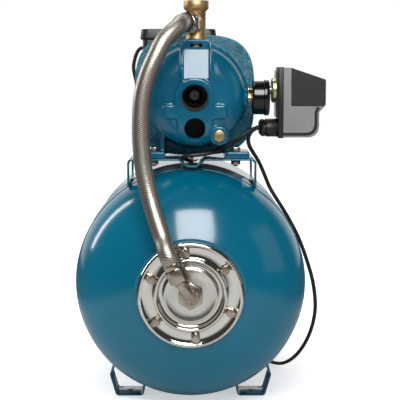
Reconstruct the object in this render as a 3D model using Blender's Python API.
"""Booster pump set: a jet pump on a horizontal pressure tank, with its hose, gauge, switch and leads.

Metres, +Z up. X runs to the right of someone who faces the two pump ports, and Y runs away from them,
from the front plane of the tank's flange. The tank's axis stands over X = 0 while the pieces are made.
"""

import math

import bmesh
import bpy
from mathutils import Matrix, Vector, geometry

# General clearances
GAP = 0.0003
RUNNING_GAP = 0.0006
OVERSHOOT = 0.002

# Tank
TANK_RADIUS = 0.180
TANK_CLEARANCE = 0.0115
TANK_AXIS_Z = TANK_CLEARANCE + TANK_RADIUS
TANK_WALL = 0.002
DOME_DEPTH = 0.120
DOME_START_Y = 0.1185
CYLINDER_LENGTH = 0.288
JOGGLE = 0.0015
SEAM_FROM_DOME = 0.092
SEAM_WIDTH = 0.006
SEAM_HEIGHT = 0.0012
NECK_RADIUS = 0.0835
NECK_DEPTH = 0.008
MOUTH_RADIUS = 0.050
TANK_SIDES = 40

# Tank flange and its bolts
FLANGE_RADIUS = 0.080
FLANGE_DEPTH = 0.0092
FLANGE_SHEET = 0.0025
FLANGE_HOLE_RADIUS = 0.0132
FLANGE_SEAT_Y = 0.0035
FLANGE_ROLL_INNER = 0.0752
FLANGE_PRESSING = (
    (0.0225, FLANGE_SEAT_Y),
    (0.0300, 0.0038),
    (0.0385, 0.0022),
    (0.0415, 0.0042),
    (0.0465, 0.0046),
    (0.0502, 0.0012),
    (0.0525, 0.0),
    (0.0548, 0.0012),
    (0.0560, FLANGE_SEAT_Y),
    (0.0720, FLANGE_SEAT_Y),
    (0.0736, 0.0014),
    (0.0765, 0.0018),
    (FLANGE_RADIUS - 0.001, 0.0045),
)
BOLT_CIRCLE_RADIUS = 0.064
BOLT_COUNT = 6
BOLT_FIRST_ANGLE = math.radians(97)
BOLT_RADIUS = 0.0039
BOLT_HEAD_FLATS = 0.013
BOLT_HEAD_HEIGHT = 0.0065
LOW_HEAD_HEIGHT = 0.0055
BOLT_GRIP = 0.005
BOLT_HOLE_CLEARANCE = 0.0005

# Rubber membrane in the tank
MEMBRANE_CLEARANCE = 0.040
MEMBRANE_RADIUS = TANK_RADIUS - MEMBRANE_CLEARANCE
MEMBRANE_REACH_Y = 0.400
MEMBRANE_WALL = 0.002
MEMBRANE_LIP_RADIUS = 0.0545

# Feet of the tank
FOOT_STRIP = 0.0025
FOOT_LENGTH = 0.050
FOOT_FRONT_Y = 0.177
FOOT_INSET = 0.082
FOOT_CENTRE_X = TANK_RADIUS - FOOT_INSET
FOOT_SOLE_WIDTH = 0.042
FOOT_BEND_OUT = 0.010
FOOT_BEND_Z = 0.035
FOOT_HOLE_RADIUS = 0.0045

# Sheet platform on the tank
PLATFORM_CENTRE_X = 0.002
PLATFORM_WIDTH = 0.199
PLATFORM_FRONT_Y = 0.098
PLATFORM_LENGTH = 0.166
PLATFORM_RISE = 0.0145
PLATFORM_TOP_Z = TANK_AXIS_Z + TANK_RADIUS + PLATFORM_RISE
PLATFORM_SHEET = 0.0025
PLATFORM_BEND = 0.007
GROOVE_WIDTH = 0.040
GROOVE_FLOOR = 0.014
GROOVE_DEPTH = 0.011
WINDOW_FROM_FRONT = 0.024
WINDOW_LENGTH = 0.113
WINDOW_SILL = 0.007

# Air valve at the rear of the tank
VALVE_STEM_RADIUS = 0.0045
VALVE_STEM_LENGTH = 0.0315
VALVE_COLLAR_RADIUS = 0.008
VALVE_CAP_RADIUS = 0.0062
VALVE_CAP_LENGTH = 0.013
VALVE_BORE_RADIUS = 0.0022
VALVE_PIN_RADIUS = 0.0013
VALVE_PIN_LENGTH = 0.014
VALVE_PIN_TRAVEL = 0.0012

# Elbow on the flange
ELBOW_HEX_FLATS = 0.035
ELBOW_HEX_DEPTH = 0.010
ELBOW_COLLAR_RADIUS = 0.0125
ELBOW_TUBE_RADIUS = 0.0085
ELBOW_BEND_RADIUS = 0.026
ELBOW_OUT = 0.038
ELBOW_LEAN = math.radians(26.6)
ELBOW_REACH = 0.030

# Hose and its union nuts
HOSE_RADIUS = 0.013
UNION_FLATS = 0.027
UNION_LENGTH = 0.024
UPPER_UNION_FLATS = 0.030
UPPER_UNION_LENGTH = 0.015
FERRULE_RADIUS = 0.0142
FERRULE_LENGTH = 0.006
HOSE_STRAIGHT = 0.006

# Pump: common axis and casing
PUMP_X = 0.0065
PUMP_RISE = 0.097
PUMP_Z = PLATFORM_TOP_Z + PUMP_RISE
CASING_FRONT_Y = 0.062
CASING_RADIUS = 0.076
CASING_DRAFT = 0.004
CASING_EDGE = 0.014
CASING_WALL = 0.008
CASING_BACK_Y = 0.166
PLATE_HALF = 0.094
PLATE_POWER = 3.3
PLATE_DEPTH = 0.012
PAD_RISE = 0.004
PAD_LOBE = 0.030
PAD_ARM = 0.048
PAD_STEM = 0.026
PAD_FOOT_DROP = 0.074
PAD_ARM_LOW = 0.0335
PAD_ARM_HIGH = 0.0137
PAD_TOP_RADIUS = 0.0325
PAD_TOP_DROP = 0.0055
SUCTION_RADIUS = 0.0202
SUCTION_STEP = 0.002
SUCTION_DROP = 0.0035
SUCTION_Z = PUMP_Z - SUCTION_DROP
EJECTOR_RADIUS = 0.0158
EJECTOR_DROP = 0.049
EJECTOR_Z = PUMP_Z - EJECTOR_DROP
DISCHARGE_X = 0.0085
BOSS_WIDTH = 0.039
BOSS_FRONT_Y = 0.078
BOSS_DEPTH = 0.040
BOSS_RISE = 0.085
BOSS_TOP_Z = PUMP_Z + BOSS_RISE
SLOPE_TOP_DROP = 0.016
SLOPE_TOP_Z = BOSS_TOP_Z - SLOPE_TOP_DROP
SLOPE_FOOT_DROP = 0.060
SLOPE_FOOT_Z = BOSS_TOP_Z - SLOPE_FOOT_DROP
SLOPE_WALL = 0.004
BOSS_WINDOW_WIDTH = 0.018
BOSS_WINDOW_HEIGHT = 0.005
BOSS_WINDOW_DROP = 0.009
BOSS_WINDOW_Z = BOSS_TOP_Z - BOSS_WINDOW_DROP
DRAIN_X = 0.0365
DRAIN_DROP = 0.0595
DRAIN_Z = PUMP_Z - DRAIN_DROP
DRAIN_FLATS = 0.017
DRAIN_HEAD = 0.008
DRAIN_SHANK_RADIUS = 0.006
DRAIN_BOSS_RADIUS = 0.0145
FEET_INSET = 0.0155
FEET_OUTER_X = PLATFORM_WIDTH / 2 - FEET_INSET
FEET_WIDTH = 0.038
FEET_INNER_X = FEET_OUTER_X - FEET_WIDTH
FEET_FRONT_Y = 0.098
FEET_THICKNESS = 0.011
FEET_BOLT_INSET = 0.0205
FEET_BOLT_X = FEET_OUTER_X - FEET_BOLT_INSET
FEET_BOLT_Y = 0.117
FEET_BOLT_RADIUS = 0.004
RIB_THICKNESS = 0.006
RIB_TOP_DROP = 0.050
SIDE_BOSS_RADIUS = 0.013
SWITCH_BOSS_X = 0.0898

# Pump: plates, gasket and their bolts
GASKET_DEPTH = 0.0014
GASKET_INSET = 0.001
CASING_BORE = 0.066
CORNER_BOLT_REACH = 0.0705
CORNER_BOLT_RADIUS = 0.0036
CORNER_BOLT_LENGTH = 0.023
BRACKET_PLATE = 0.010
BRACKET_HUB_RADIUS = 0.026
BRACKET_NECK_DEPTH = 0.030
BRACKET_WALL = 0.006

# Turning set
SHAFT_RADIUS = 0.0075
SHAFT_END_RADIUS = 0.004
SHAFT_NUT_RADIUS = 0.0066
SHAFT_NUT_DEPTH = 0.006
SHAFT_CORE_RADIUS = 0.010
IMPELLER_RADIUS = 0.054
IMPELLER_FRONT_Y = 0.143
IMPELLER_WIDTH = 0.007
IMPELLER_SHROUD = 0.0022
IMPELLER_EYE_RADIUS = 0.016
IMPELLER_EYE_LIP = 0.0025
IMPELLER_HUB_RADIUS = 0.0095
IMPELLER_VANES = 6
IMPELLER_VANE_THICKNESS = 0.0022
SEAL_RADIUS = 0.0135
SEAL_LENGTH = 0.012
SEAT_LENGTH = 0.006
DIFFUSER_DISC_Y = 0.134
DIFFUSER_TUBE_RADIUS = 0.0235
DIFFUSER_BORE = 0.0185
DIFFUSER_WALL = 0.0035
BEARING_RADIUS = 0.0175
BEARING_WIDTH = 0.011

# Motor
HOUSING_LENGTH = 0.170
HOUSING_BODY_RADIUS = 0.0635
NECK_FLARE = 0.0035
BRACKET_NECK_RADIUS = HOUSING_BODY_RADIUS - NECK_FLARE
FIN_HEIGHT = 0.007
HOUSING_WALL = 0.005
HOUSING_FIN_RADIUS = HOUSING_BODY_RADIUS + FIN_HEIGHT
HOUSING_BORE = HOUSING_BODY_RADIUS - HOUSING_WALL
FIN_COUNT = 28
FIN_THICKNESS = 0.0028
STATOR_DEPTH = 0.018
STATOR_INNER = HOUSING_BORE - STATOR_DEPTH
STATOR_LENGTH = 0.090
WINDING_OVERHANG = 0.018
AIR_GAP = 0.0007
ROTOR_RADIUS = STATOR_INNER - AIR_GAP
ROTOR_LENGTH = 0.094
SHIELD_DEPTH = 0.016
FAN_TIP_CLEARANCE = 0.0055
FAN_RADIUS = HOUSING_BODY_RADIUS - FAN_TIP_CLEARANCE
FAN_WIDTH = 0.016
FAN_BLADES = 8
FAN_BLADE_THICKNESS = 0.0022
FAN_HUB_RADIUS = 0.013
COVER_STAND_OFF = 0.003
COVER_RADIUS = HOUSING_FIN_RADIUS + COVER_STAND_OFF
COVER_LENGTH = 0.062
COVER_WALL = 0.002
GRILLE_SLOTS = 16
GRILLE_SLOT_WIDTH = 0.0042
GRILLE_INNER = 0.020
GRILLE_MARGIN = 0.0135
GRILLE_OUTER = COVER_RADIUS - GRILLE_MARGIN

# Terminal box on the motor
BOX_CENTRE_X = -0.020
BOX_WIDTH = 0.118
BOX_FRONT_Y = 0.252
BOX_LENGTH = 0.104
BOX_STAND_OFF = 0.001
BOX_FLOOR_Z = PUMP_Z + HOUSING_BODY_RADIUS + BOX_STAND_OFF
BOX_HEIGHT = 0.026
BOX_RIM_Z = BOX_FLOOR_Z + BOX_HEIGHT
LID_HEIGHT = 0.0165
BOX_TOP_Z = BOX_RIM_Z + LID_HEIGHT
BOX_WALL = 0.0028
BOX_CORNER = 0.010
BOX_PAD_WIDTH = 0.070
BOX_ENTRY_Y = 0.304
BOX_ENTRY_RISE = 0.013
BOX_ENTRY_Z = BOX_FLOOR_Z + BOX_ENTRY_RISE
LID_LIP = 0.0045
CAPACITOR_RADIUS = 0.0145
CAPACITOR_LENGTH = 0.062
CAPACITOR_SET_BACK = 0.020

# Brass tee on the discharge
TEE_Y = 0.098
TEE_RADIUS = 0.0145
TEE_RING_RADIUS = 0.019
TEE_RING_HEIGHT = 0.012
TEE_HEIGHT = 0.058
TEE_TOP_Z = BOSS_TOP_Z + TEE_HEIGHT
TEE_SHANK_RADIUS = 0.0122
TEE_SHANK_LENGTH = 0.016
TEE_BORE = 0.0095
TEE_SOCKET_RADIUS = 0.0155
TEE_SOCKET_DEPTH = 0.013
TEE_BRANCH_DROP = 0.034
TEE_BRANCH_Z = TEE_TOP_Z - TEE_BRANCH_DROP
TEE_BRANCH_RADIUS = 0.0168
TEE_BRANCH_REACH = 0.0165
TEE_BRANCH_TURN = math.radians(27)
HOSE_FROM_BRANCH = (
    (-0.0180, 0.0400, -0.0070),
    (-0.0385, 0.0230, -0.0280),
    (-0.0510, 0.0160, -0.0520),
    (-0.0625, 0.0130, -0.0790),
    (-0.0700, 0.0120, -0.1090),
    (-0.0725, 0.0115, -0.1400),
    (-0.0720, 0.0110, -0.1755),
)
HOSE_TO_TANK = (
    (-0.0685, 0.0090, 0.1875),
    (-0.0608, 0.0040, 0.1510),
    (-0.0510, -0.0060, 0.1170),
    (-0.0405, -0.0190, 0.0875),
)

# Pressure gauge on the right of the casing
GAUGE_Y = 0.100
GAUGE_DROP = 0.003
GAUGE_Z = PUMP_Z - GAUGE_DROP
GAUGE_BOSS_X = 0.0868
GAUGE_HEX_FLATS = 0.014
GAUGE_HEX_DEPTH = 0.0064
GAUGE_SHANK_RADIUS = 0.005
GAUGE_RADIUS = 0.0255
GAUGE_DEPTH = 0.0178
BEZEL_RADIUS = 0.027
BEZEL_DEPTH = 0.0082
GAUGE_WALL = 0.002
DIAL_DEPTH = 0.006
POINTER_LENGTH = 0.019
POINTER_TAIL = 0.006
POINTER_THICKNESS = 0.0008
POINTER_ZERO = math.radians(225)
LENS_THICKNESS = 0.0015

# Pressure switch on the right of the casing
SWITCH_Y = 0.145
SWITCH_RISE = 0.008
SWITCH_Z = PUMP_Z + SWITCH_RISE
NIPPLE_RADIUS = 0.0065
NIPPLE_HEX_FLATS = 0.017
CAP_LEFT_X = 0.1256
CAP_RADIUS = 0.0195
BASE_PLATE_X = 0.1328
BASE_PLATE_DEPTH = 0.0026
BASE_DROP = 0.042
BASE_LOW_Z = SWITCH_Z - BASE_DROP
BASE_RISE = 0.031
BASE_HIGH_Z = SWITCH_Z + BASE_RISE
SWITCH_WIDTH = 0.062
COVER_LEFT_X = 0.1358
COVER_RIGHT_X = 0.2085
COVER_RISE = 0.0345
COVER_HIGH_Z = SWITCH_Z + COVER_RISE
COVER_DROP = 0.0725
COVER_LOW_Z = SWITCH_Z - COVER_DROP
COVER_TOP_FLAT_X = 0.155
COVER_NOSE_DROP = 0.018
COVER_NOSE_HIGH_Z = COVER_HIGH_Z - COVER_NOSE_DROP
COVER_NOSE_RISE = 0.050
COVER_NOSE_LOW_Z = COVER_LOW_Z + COVER_NOSE_RISE
COVER_STEP_X = 0.1985
COVER_STEP_RISE = 0.039
COVER_STEP_Z = COVER_LOW_Z + COVER_STEP_RISE
COVER_CORNER = 0.022
COVER_SHELL = 0.0024
COVER_RIM_WIDTH = 0.0075
COVER_RIM_RISE = 0.0012
GLAND_NEAR_Y = 0.1305
GLAND_FAR_Y = 0.1595
GLAND_RISE = 0.014
GLAND_Z = COVER_LOW_Z + GLAND_RISE
GLAND_RADIUS = 0.0135
GLAND_BODY_LEFT_X = 0.1165
GLAND_NUT_LEFT_X = 0.1075
GLAND_NECK_RADIUS = 0.008
GLAND_NECK_REACH = 0.005
ROCKER_PIVOT_RISE = 0.019
ROCKER_PIVOT_Z = SWITCH_Z + ROCKER_PIVOT_RISE
ROCKER_X = 0.150
ROCKER_LENGTH = 0.048
ROCKER_WIDTH = 0.026
ROCKER_THICKNESS = 0.0025
SPRING_RADIUS = 0.006
SPRING_WIRE = 0.0011
SPRING_TURNS = 5
SPRING_LENGTH = 0.024
SPRING_DROP = 0.030
STUD_RADIUS = 0.0022
ROCKER_PIN_RADIUS = 0.002
LUG_THICKNESS = 0.002
COVER_RECESS = 0.0012

# Leads
LEAD_RADIUS = 0.0031
LEAD_ROOM = 0.0012
LEAD_STRAIGHT = 0.004
LEAD_FROM_GLAND = (
    (0.0955, 0.1290, -0.0025),
    (0.0850, 0.1255, -0.0085),
    (0.0730, 0.1190, -0.0175),
)
LEAD_ON_PLATFORM = (
    (0.0600, 0.1080, 0.0215),
    (0.0410, 0.0960, 0.0130),
    (0.0210, 0.0900, 0.0085),
    (0.0020, 0.0870, 0.0065),
    (-0.0110, 0.0930, 0.0045),
    (-0.0110, 0.1080, 0.0010),
    (-0.0020, 0.1260, -0.0040),
    (0.0020, 0.1500, -0.0065),
    (0.0020, 0.1900, -0.0070),
    (0.0020, 0.2300, -0.0070),
    (0.0000, 0.2600, -0.0045),
    (-0.0120, 0.2860, 0.0040),
    (-0.0380, 0.3060, 0.0180),
    (-0.0650, 0.3140, 0.0410),
)
LEAD_TO_BOX = (
    (-0.0840, 0.3120, -0.0985),
    (-0.0920, 0.3060, -0.0585),
    (-0.0960, 0.3040, -0.0265),
)
CORD_FROM_GLAND = (
    (0.1050, 0.1570, -0.0010),
    (0.0960, 0.1500, -0.0063),
    (0.0908, 0.1462, -0.0165),
)
CORD_PAST_PLATFORM = (
    (0.0920, 0.1460, 0.0195),
    (0.0970, 0.1478, 0.0095),
    (0.1040, 0.1508, -0.0010),
    (0.1100, 0.1535, -0.0120),
    (0.1170, 0.1560, -0.0280),
)
CORD_ROUND_TANK = (
    (0.705556 * TANK_RADIUS, 0.1580, TANK_AXIS_Z + 0.797222 * TANK_RADIUS),
    (0.842778 * TANK_RADIUS, 0.1590, TANK_AXIS_Z + 0.576667 * TANK_RADIUS),
    (0.951111 * TANK_RADIUS, 0.1605, TANK_AXIS_Z + 0.375000 * TANK_RADIUS),
    (1.038889 * TANK_RADIUS, 0.1645, TANK_AXIS_Z + 0.147222 * TANK_RADIUS),
    (1.102778 * TANK_RADIUS, 0.1740, TANK_AXIS_Z - 0.075000 * TANK_RADIUS),
    (1.133333 * TANK_RADIUS, 0.1940, TANK_AXIS_Z - 0.330556 * TANK_RADIUS),
    (1.100000 * TANK_RADIUS, 0.2260, TANK_AXIS_Z - 0.597222 * TANK_RADIUS),
)
CORD_ON_FLOOR = (
    (0.1820, 0.2700, 0.0400),
    (0.1620, 0.3200, 0.0120),
    (0.1400, 0.3700, 0.0034),
    (0.1130, 0.4200, 0.0034),
    (0.0820, 0.4660, 0.0034),
)
COIL_CENTRE_X = 0.0
COIL_CENTRE_Y = 0.520
COIL_MEAN_RADIUS = 0.037
COIL_TURNS_WIDE = 3
COIL_TURNS_HIGH = 2
COIL_MEET_ANGLE = 15
PLUG_TURN = math.radians(35)
PLUG_TAIL_RADIUS = 0.0042
PLUG_RADIUS = 0.0175
PLUG_BODY_LENGTH = 0.028
PLUG_TAIL_LENGTH = 0.022
PLUG_PIN_RADIUS = 0.0024
PLUG_PIN_LENGTH = 0.018
PLUG_PIN_SPACING = 0.019

# Values that follow from the sizes above
CYLINDER_END_Y = DOME_START_Y + CYLINDER_LENGTH
GAUGE_BACK_X = GAUGE_BOSS_X + GAUGE_HEX_DEPTH + 2 * GAP
GASKET_Y = CASING_BACK_Y + GAP
BRACKET_Y = GASKET_Y + GASKET_DEPTH + GAP
BRACKET_PLATE_BACK_Y = BRACKET_Y + BRACKET_PLATE
HOUSING_Y = BRACKET_PLATE_BACK_Y + BRACKET_NECK_DEPTH + GAP
HOUSING_END_Y = HOUSING_Y + HOUSING_LENGTH
SHIELD_Y = HOUSING_END_Y + GAP
FRONT_BEARING_Y = BRACKET_PLATE_BACK_Y + BRACKET_NECK_DEPTH - 0.004 - BEARING_WIDTH
STATOR_Y = HOUSING_Y + (HOUSING_LENGTH - STATOR_LENGTH) / 2
FAN_Y = SHIELD_Y + SHIELD_DEPTH + 0.008
COVER_END_Y = SHIELD_Y + COVER_LENGTH
IMPELLER_BACK_Y = IMPELLER_FRONT_Y + IMPELLER_WIDTH + 2 * IMPELLER_SHROUD
FEET_SOLE_Z = PLATFORM_TOP_Z + GAP
COIL_OUTER_RADIUS = COIL_MEAN_RADIUS + COIL_TURNS_WIDE * LEAD_RADIUS


def clear_scene():
    """Remove the objects that the scene starts with."""
    for item in list(bpy.data.objects):
        bpy.data.objects.remove(item)


def axis_matrix(along):
    """The turn that lays local Z along the named axis, with the outline's first value to the right."""
    if along == "X":
        return Matrix(((0, 0, 1), (1, 0, 0), (0, 1, 0))).to_4x4()
    if along == "Y":
        return Matrix(((1, 0, 0), (0, 0, 1), (0, 1, 0))).to_4x4()
    return Matrix.Identity(4)


def placed(name, shape, where):
    """Make a shape an object whose origin is at where, with its faces pointing out."""
    bmesh.ops.remove_doubles(shape, verts=shape.verts, dist=1e-7)
    bmesh.ops.recalc_face_normals(shape, faces=shape.faces)
    mesh = bpy.data.meshes.new(name)
    shape.to_mesh(mesh)
    shape.free()
    piece = bpy.data.objects.new(name, mesh)
    piece.location = where
    bpy.context.scene.collection.objects.link(piece)
    return piece


def turned(name, outline, where=(0, 0, 0), along="Y", sides=48):
    """A turned body from (radius, distance along the axis) points, closed on the axis or on itself."""
    shape = bmesh.new()
    points = [shape.verts.new((radius, 0, reach)) for radius, reach in outline]
    edges = [shape.edges.new(pair) for pair in zip(points, points[1:])]
    if outline[0][0] > 0 or outline[-1][0] > 0:
        edges.append(shape.edges.new((points[-1], points[0])))
    bmesh.ops.spin(
        shape,
        geom=points + edges,
        cent=(0, 0, 0),
        axis=(0, 0, 1),
        angle=math.tau,
        steps=sides,
        use_merge=True,
    )
    bmesh.ops.remove_doubles(shape, verts=shape.verts, dist=1e-7)
    bmesh.ops.transform(shape, matrix=axis_matrix(along), verts=shape.verts)
    return placed(name, shape, where)


def prism(name, outline, depth, where=(0, 0, 0), along="Y"):
    """An outline pushed along an axis. It lies in XZ for Y, in YZ for X and in XY for Z."""
    shape = bmesh.new()
    face = shape.faces.new([shape.verts.new((u, v, 0)) for u, v in outline])
    pushed = bmesh.ops.extrude_face_region(shape, geom=[face])["geom"]
    moved = [item for item in pushed if isinstance(item, bmesh.types.BMVert)]
    bmesh.ops.translate(shape, vec=(0, 0, depth), verts=moved)
    bmesh.ops.transform(shape, matrix=axis_matrix(along), verts=shape.verts)
    return placed(name, shape, where)


def block(name, low, high, where=(0, 0, 0)):
    """A rectangular block between two opposite corners."""
    shape = bmesh.new()
    bmesh.ops.create_cube(shape, size=1)
    size = Vector(high) - Vector(low)
    bmesh.ops.scale(shape, vec=size, verts=shape.verts)
    bmesh.ops.translate(shape, vec=(Vector(high) + Vector(low)) / 2, verts=shape.verts)
    return placed(name, shape, where)


def rod(name, radius, start, end, sides=24, where=(0, 0, 0), end_radius=None):
    """A round rod, or a cone with its own end radius, from one point to another."""
    start, end = Vector(start), Vector(end)
    shape = bmesh.new()
    bmesh.ops.create_cone(
        shape,
        cap_ends=True,
        segments=sides,
        radius1=radius,
        radius2=radius if end_radius is None else end_radius,
        depth=(end - start).length,
    )
    turn = (end - start).to_track_quat("Z", "Y").to_matrix().to_4x4()
    turn.translation = (start + end) / 2
    bmesh.ops.transform(shape, matrix=turn, verts=shape.verts)
    return placed(name, shape, where)


def hexagon(name, flats, start, end, where=(0, 0, 0)):
    """A hexagonal bar of a width across its flats, from one point to another."""
    return rod(name, flats / math.sqrt(3), start, end, 6, where)


def apply_tool(piece, tool, operation):
    """Cut or join a piece with a tool body, which is used up."""
    change = piece.modifiers.new("change", "BOOLEAN")
    change.operation = operation
    change.solver = "EXACT"
    change.object = tool
    depsgraph = bpy.context.evaluated_depsgraph_get()
    before = piece.data
    piece.data = bpy.data.meshes.new_from_object(piece.evaluated_get(depsgraph))
    piece.modifiers.clear()
    bpy.data.meshes.remove(before)
    bpy.data.objects.remove(tool)


def cut(piece, *tools):
    """Take tool bodies away from a piece."""
    for tool in tools:
        apply_tool(piece, tool, "DIFFERENCE")
    return piece


def fuse(piece, *tools):
    """Join bodies that belong to one casting, pressing or moulding."""
    for tool in tools:
        apply_tool(piece, tool, "UNION")
    return piece


def keep_inside(piece, tool):
    """Keep only what lies inside a tool body."""
    apply_tool(piece, tool, "INTERSECT")
    return piece


def arc(centre, radius, start, end, steps):
    """Points on an arc between two angles, both ends included."""
    angles = [start + (end - start) * i / steps for i in range(steps + 1)]
    return [(centre[0] + radius * math.cos(a), centre[1] + radius * math.sin(a)) for a in angles]


def rounded(points, radius, steps=4, closed=True):
    """Round the corners of an outline, or of an open line, by one radius or by one for each point."""
    result = []
    count = len(points)
    radii = list(radius) if isinstance(radius, (list, tuple)) else [radius] * count
    for i, point in enumerate(points):
        if not closed and i in (0, count - 1):
            result.append(tuple(point))
            continue
        here = Vector(point)
        back = (Vector(points[i - 1]) - here).normalized()
        ahead = (Vector(points[(i + 1) % count]) - here).normalized()
        half = back.angle(ahead) / 2
        centre = here + (back + ahead).normalized() * radii[i] / math.sin(half)
        first = here + back * radii[i] / math.tan(half)
        last = here + ahead * radii[i] / math.tan(half)
        swing = (first - centre).angle_signed(last - centre)
        for step in range(steps + 1):
            turn = -swing * step / steps
            offset = first - centre
            result.append(
                (
                    centre.x + offset.x * math.cos(turn) - offset.y * math.sin(turn),
                    centre.y + offset.x * math.sin(turn) + offset.y * math.cos(turn),
                )
            )
    return result


def rectangle(width, height, radius, steps=4, centre=(0, 0)):
    """A rectangle's outline with round corners."""
    u, v = width / 2, height / 2
    corners = [(-u, -v), (u, -v), (u, v), (-u, v)]
    return [(centre[0] + p, centre[1] + q) for p, q in rounded(corners, radius, steps)]


def strip(line, thickness):
    """The closed outline of a bent strip, from the line along its middle."""
    left, right = [], []
    for i, point in enumerate(line):
        before = Vector(line[max(i - 1, 0)])
        after = Vector(line[min(i + 1, len(line) - 1)])
        along = (after - before).normalized()
        side = Vector((-along.y, along.x)) * thickness / 2
        left.append(tuple(Vector(point) + side))
        right.append(tuple(Vector(point) - side))
    return left + right[::-1]


def raised(points, height):
    """A route's points, given from a height, at their place."""
    return [(x, y, z + height) for x, y, z in points]


def smooth_line(points, spacing, start_way, end_way, straight):
    """Evenly spaced points on a smooth curve through chosen points, with a straight run at both ends."""
    points = [Vector(p) for p in points]
    first, last = points[0].copy(), points[-1].copy()
    points[0] += Vector(start_way).normalized() * straight
    points[-1] -= Vector(end_way).normalized() * straight
    ways = [(after - before).normalized() for before, after in zip(points, points[2:])]
    ways = [Vector(start_way).normalized()] + ways + [Vector(end_way).normalized()]
    dense = [points[0]]
    for a, b, way_a, way_b in zip(points, points[1:], ways, ways[1:]):
        reach = (b - a).length / 3
        piece = geometry.interpolate_bezier(a, a + way_a * reach, b - way_b * reach, b, 16)
        dense += piece[1:]
    lengths = [0.0]
    for a, b in zip(dense, dense[1:]):
        lengths.append(lengths[-1] + (b - a).length)
    count = max(2, round(lengths[-1] / spacing))
    line, i = [], 0
    for step in range(count + 1):
        target = lengths[-1] * step / count
        while i < len(dense) - 2 and lengths[i + 1] < target:
            i += 1
        share = (target - lengths[i]) / (lengths[i + 1] - lengths[i])
        line.append(dense[i].lerp(dense[i + 1], min(share, 1.0)))
    return [first, *line, last]


def tube(name, line, radius, bevel_resolution):
    """A round tube with closed ends along a line of points."""
    curve = bpy.data.curves.new(name, "CURVE")
    curve.dimensions = "3D"
    curve.bevel_depth = radius
    curve.bevel_resolution = bevel_resolution
    curve.use_fill_caps = True
    spline = curve.splines.new("POLY")
    spline.points.add(len(line) - 1)
    for spot, point in zip(spline.points, line):
        spot.co = (*point, 1)
    piece = bpy.data.objects.new(name, curve)
    bpy.context.scene.collection.objects.link(piece)
    return piece


def material(name, colour, roughness, metallic=0.0):
    """A Principled finish from a colour written as it looks on screen."""
    finish = bpy.data.materials.new(name)
    finish.use_nodes = True
    shader = finish.node_tree.nodes["Principled BSDF"]
    linear = [c / 12.92 if c <= 0.04045 else ((c + 0.055) / 1.055) ** 2.4 for c in colour]
    shader.inputs["Base Color"].default_value = (*linear, 1)
    shader.inputs["Roughness"].default_value = roughness
    shader.inputs["Metallic"].default_value = metallic
    return finish


def finished(piece, finish, carrier):
    """Give a piece its finish, smooth its round faces and hang it on what carries it."""
    piece.data.materials.clear()
    piece.data.materials.append(finish)
    if piece.type == "MESH":
        piece.data.shade_smooth()
        piece.data.set_sharp_from_angle(angle=math.radians(32))
    piece.parent = carrier
    bpy.context.view_layer.update()
    piece.matrix_parent_inverse = carrier.matrix_world.inverted()
    return piece


def empty(name, where, carrier=None):
    """An empty that carries pieces, or stands on a joint's axis."""
    holder = bpy.data.objects.new(name, None)
    holder.location = where
    bpy.context.scene.collection.objects.link(holder)
    bpy.context.view_layer.update()
    if carrier:
        holder.parent = carrier
        holder.matrix_parent_inverse = carrier.matrix_world.inverted()
    return holder


def pipe(name, line, radius, bevel_resolution=4):
    """A solid round bar along a line of points, as a mesh that can be cut and joined."""
    guide = tube(name + "_guide", line, radius, bevel_resolution)
    depsgraph = bpy.context.evaluated_depsgraph_get()
    shape = bmesh.new()
    shape.from_mesh(bpy.data.meshes.new_from_object(guide.evaluated_get(depsgraph)))
    bpy.data.objects.remove(guide)
    return placed(name, shape, (0, 0, 0))


def bolt(name, seat, way, head_flats, head_height, radius, length):
    """A hexagon-headed bolt: its head stands on the seat and its shank goes the given way."""
    seat, way = Vector(seat), Vector(way).normalized()
    head = hexagon(name, head_flats, seat - way * head_height, seat)
    return fuse(head, rod("shank", radius, seat - way * head_height / 2, seat + way * length, 10))


def tank_room(margin, low_y, high_y):
    """The space of the tank's cylinder, with the weld seam's, for what seats on it to be cut to."""
    seam_y = DOME_START_Y + SEAM_FROM_DOME
    half = SEAM_WIDTH / 2 + margin
    plain, raised = TANK_RADIUS + margin, TANK_RADIUS + SEAM_HEIGHT + margin
    outline = [(0, low_y), (plain, low_y)]
    if low_y < seam_y < high_y:
        outline += [(plain, seam_y - half), (raised, seam_y - half)]
        outline += [(raised, seam_y + half), (plain, seam_y + half)]
    outline += [(plain, high_y), (0, high_y)]
    return turned("tank_room", outline, (0, 0, TANK_AXIS_Z), "Y", TANK_SIDES)


def dome_outline(radius, depth, start_y, way, inner_radius, steps):
    """Points of a dished end from its opening outwards; way is -1 for the front and 1 for the rear one."""
    first = math.asin(inner_radius / radius)
    angles = [first + (math.pi / 2 - first) * i / steps for i in range(steps + 1)]
    return [(radius * math.sin(a), start_y + way * depth * math.cos(a)) for a in angles]


def bolt_angles():
    """Directions of the flange's bolts round its centre."""
    return [BOLT_FIRST_ANGLE - math.tau * i / BOLT_COUNT for i in range(BOLT_COUNT)]


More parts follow.
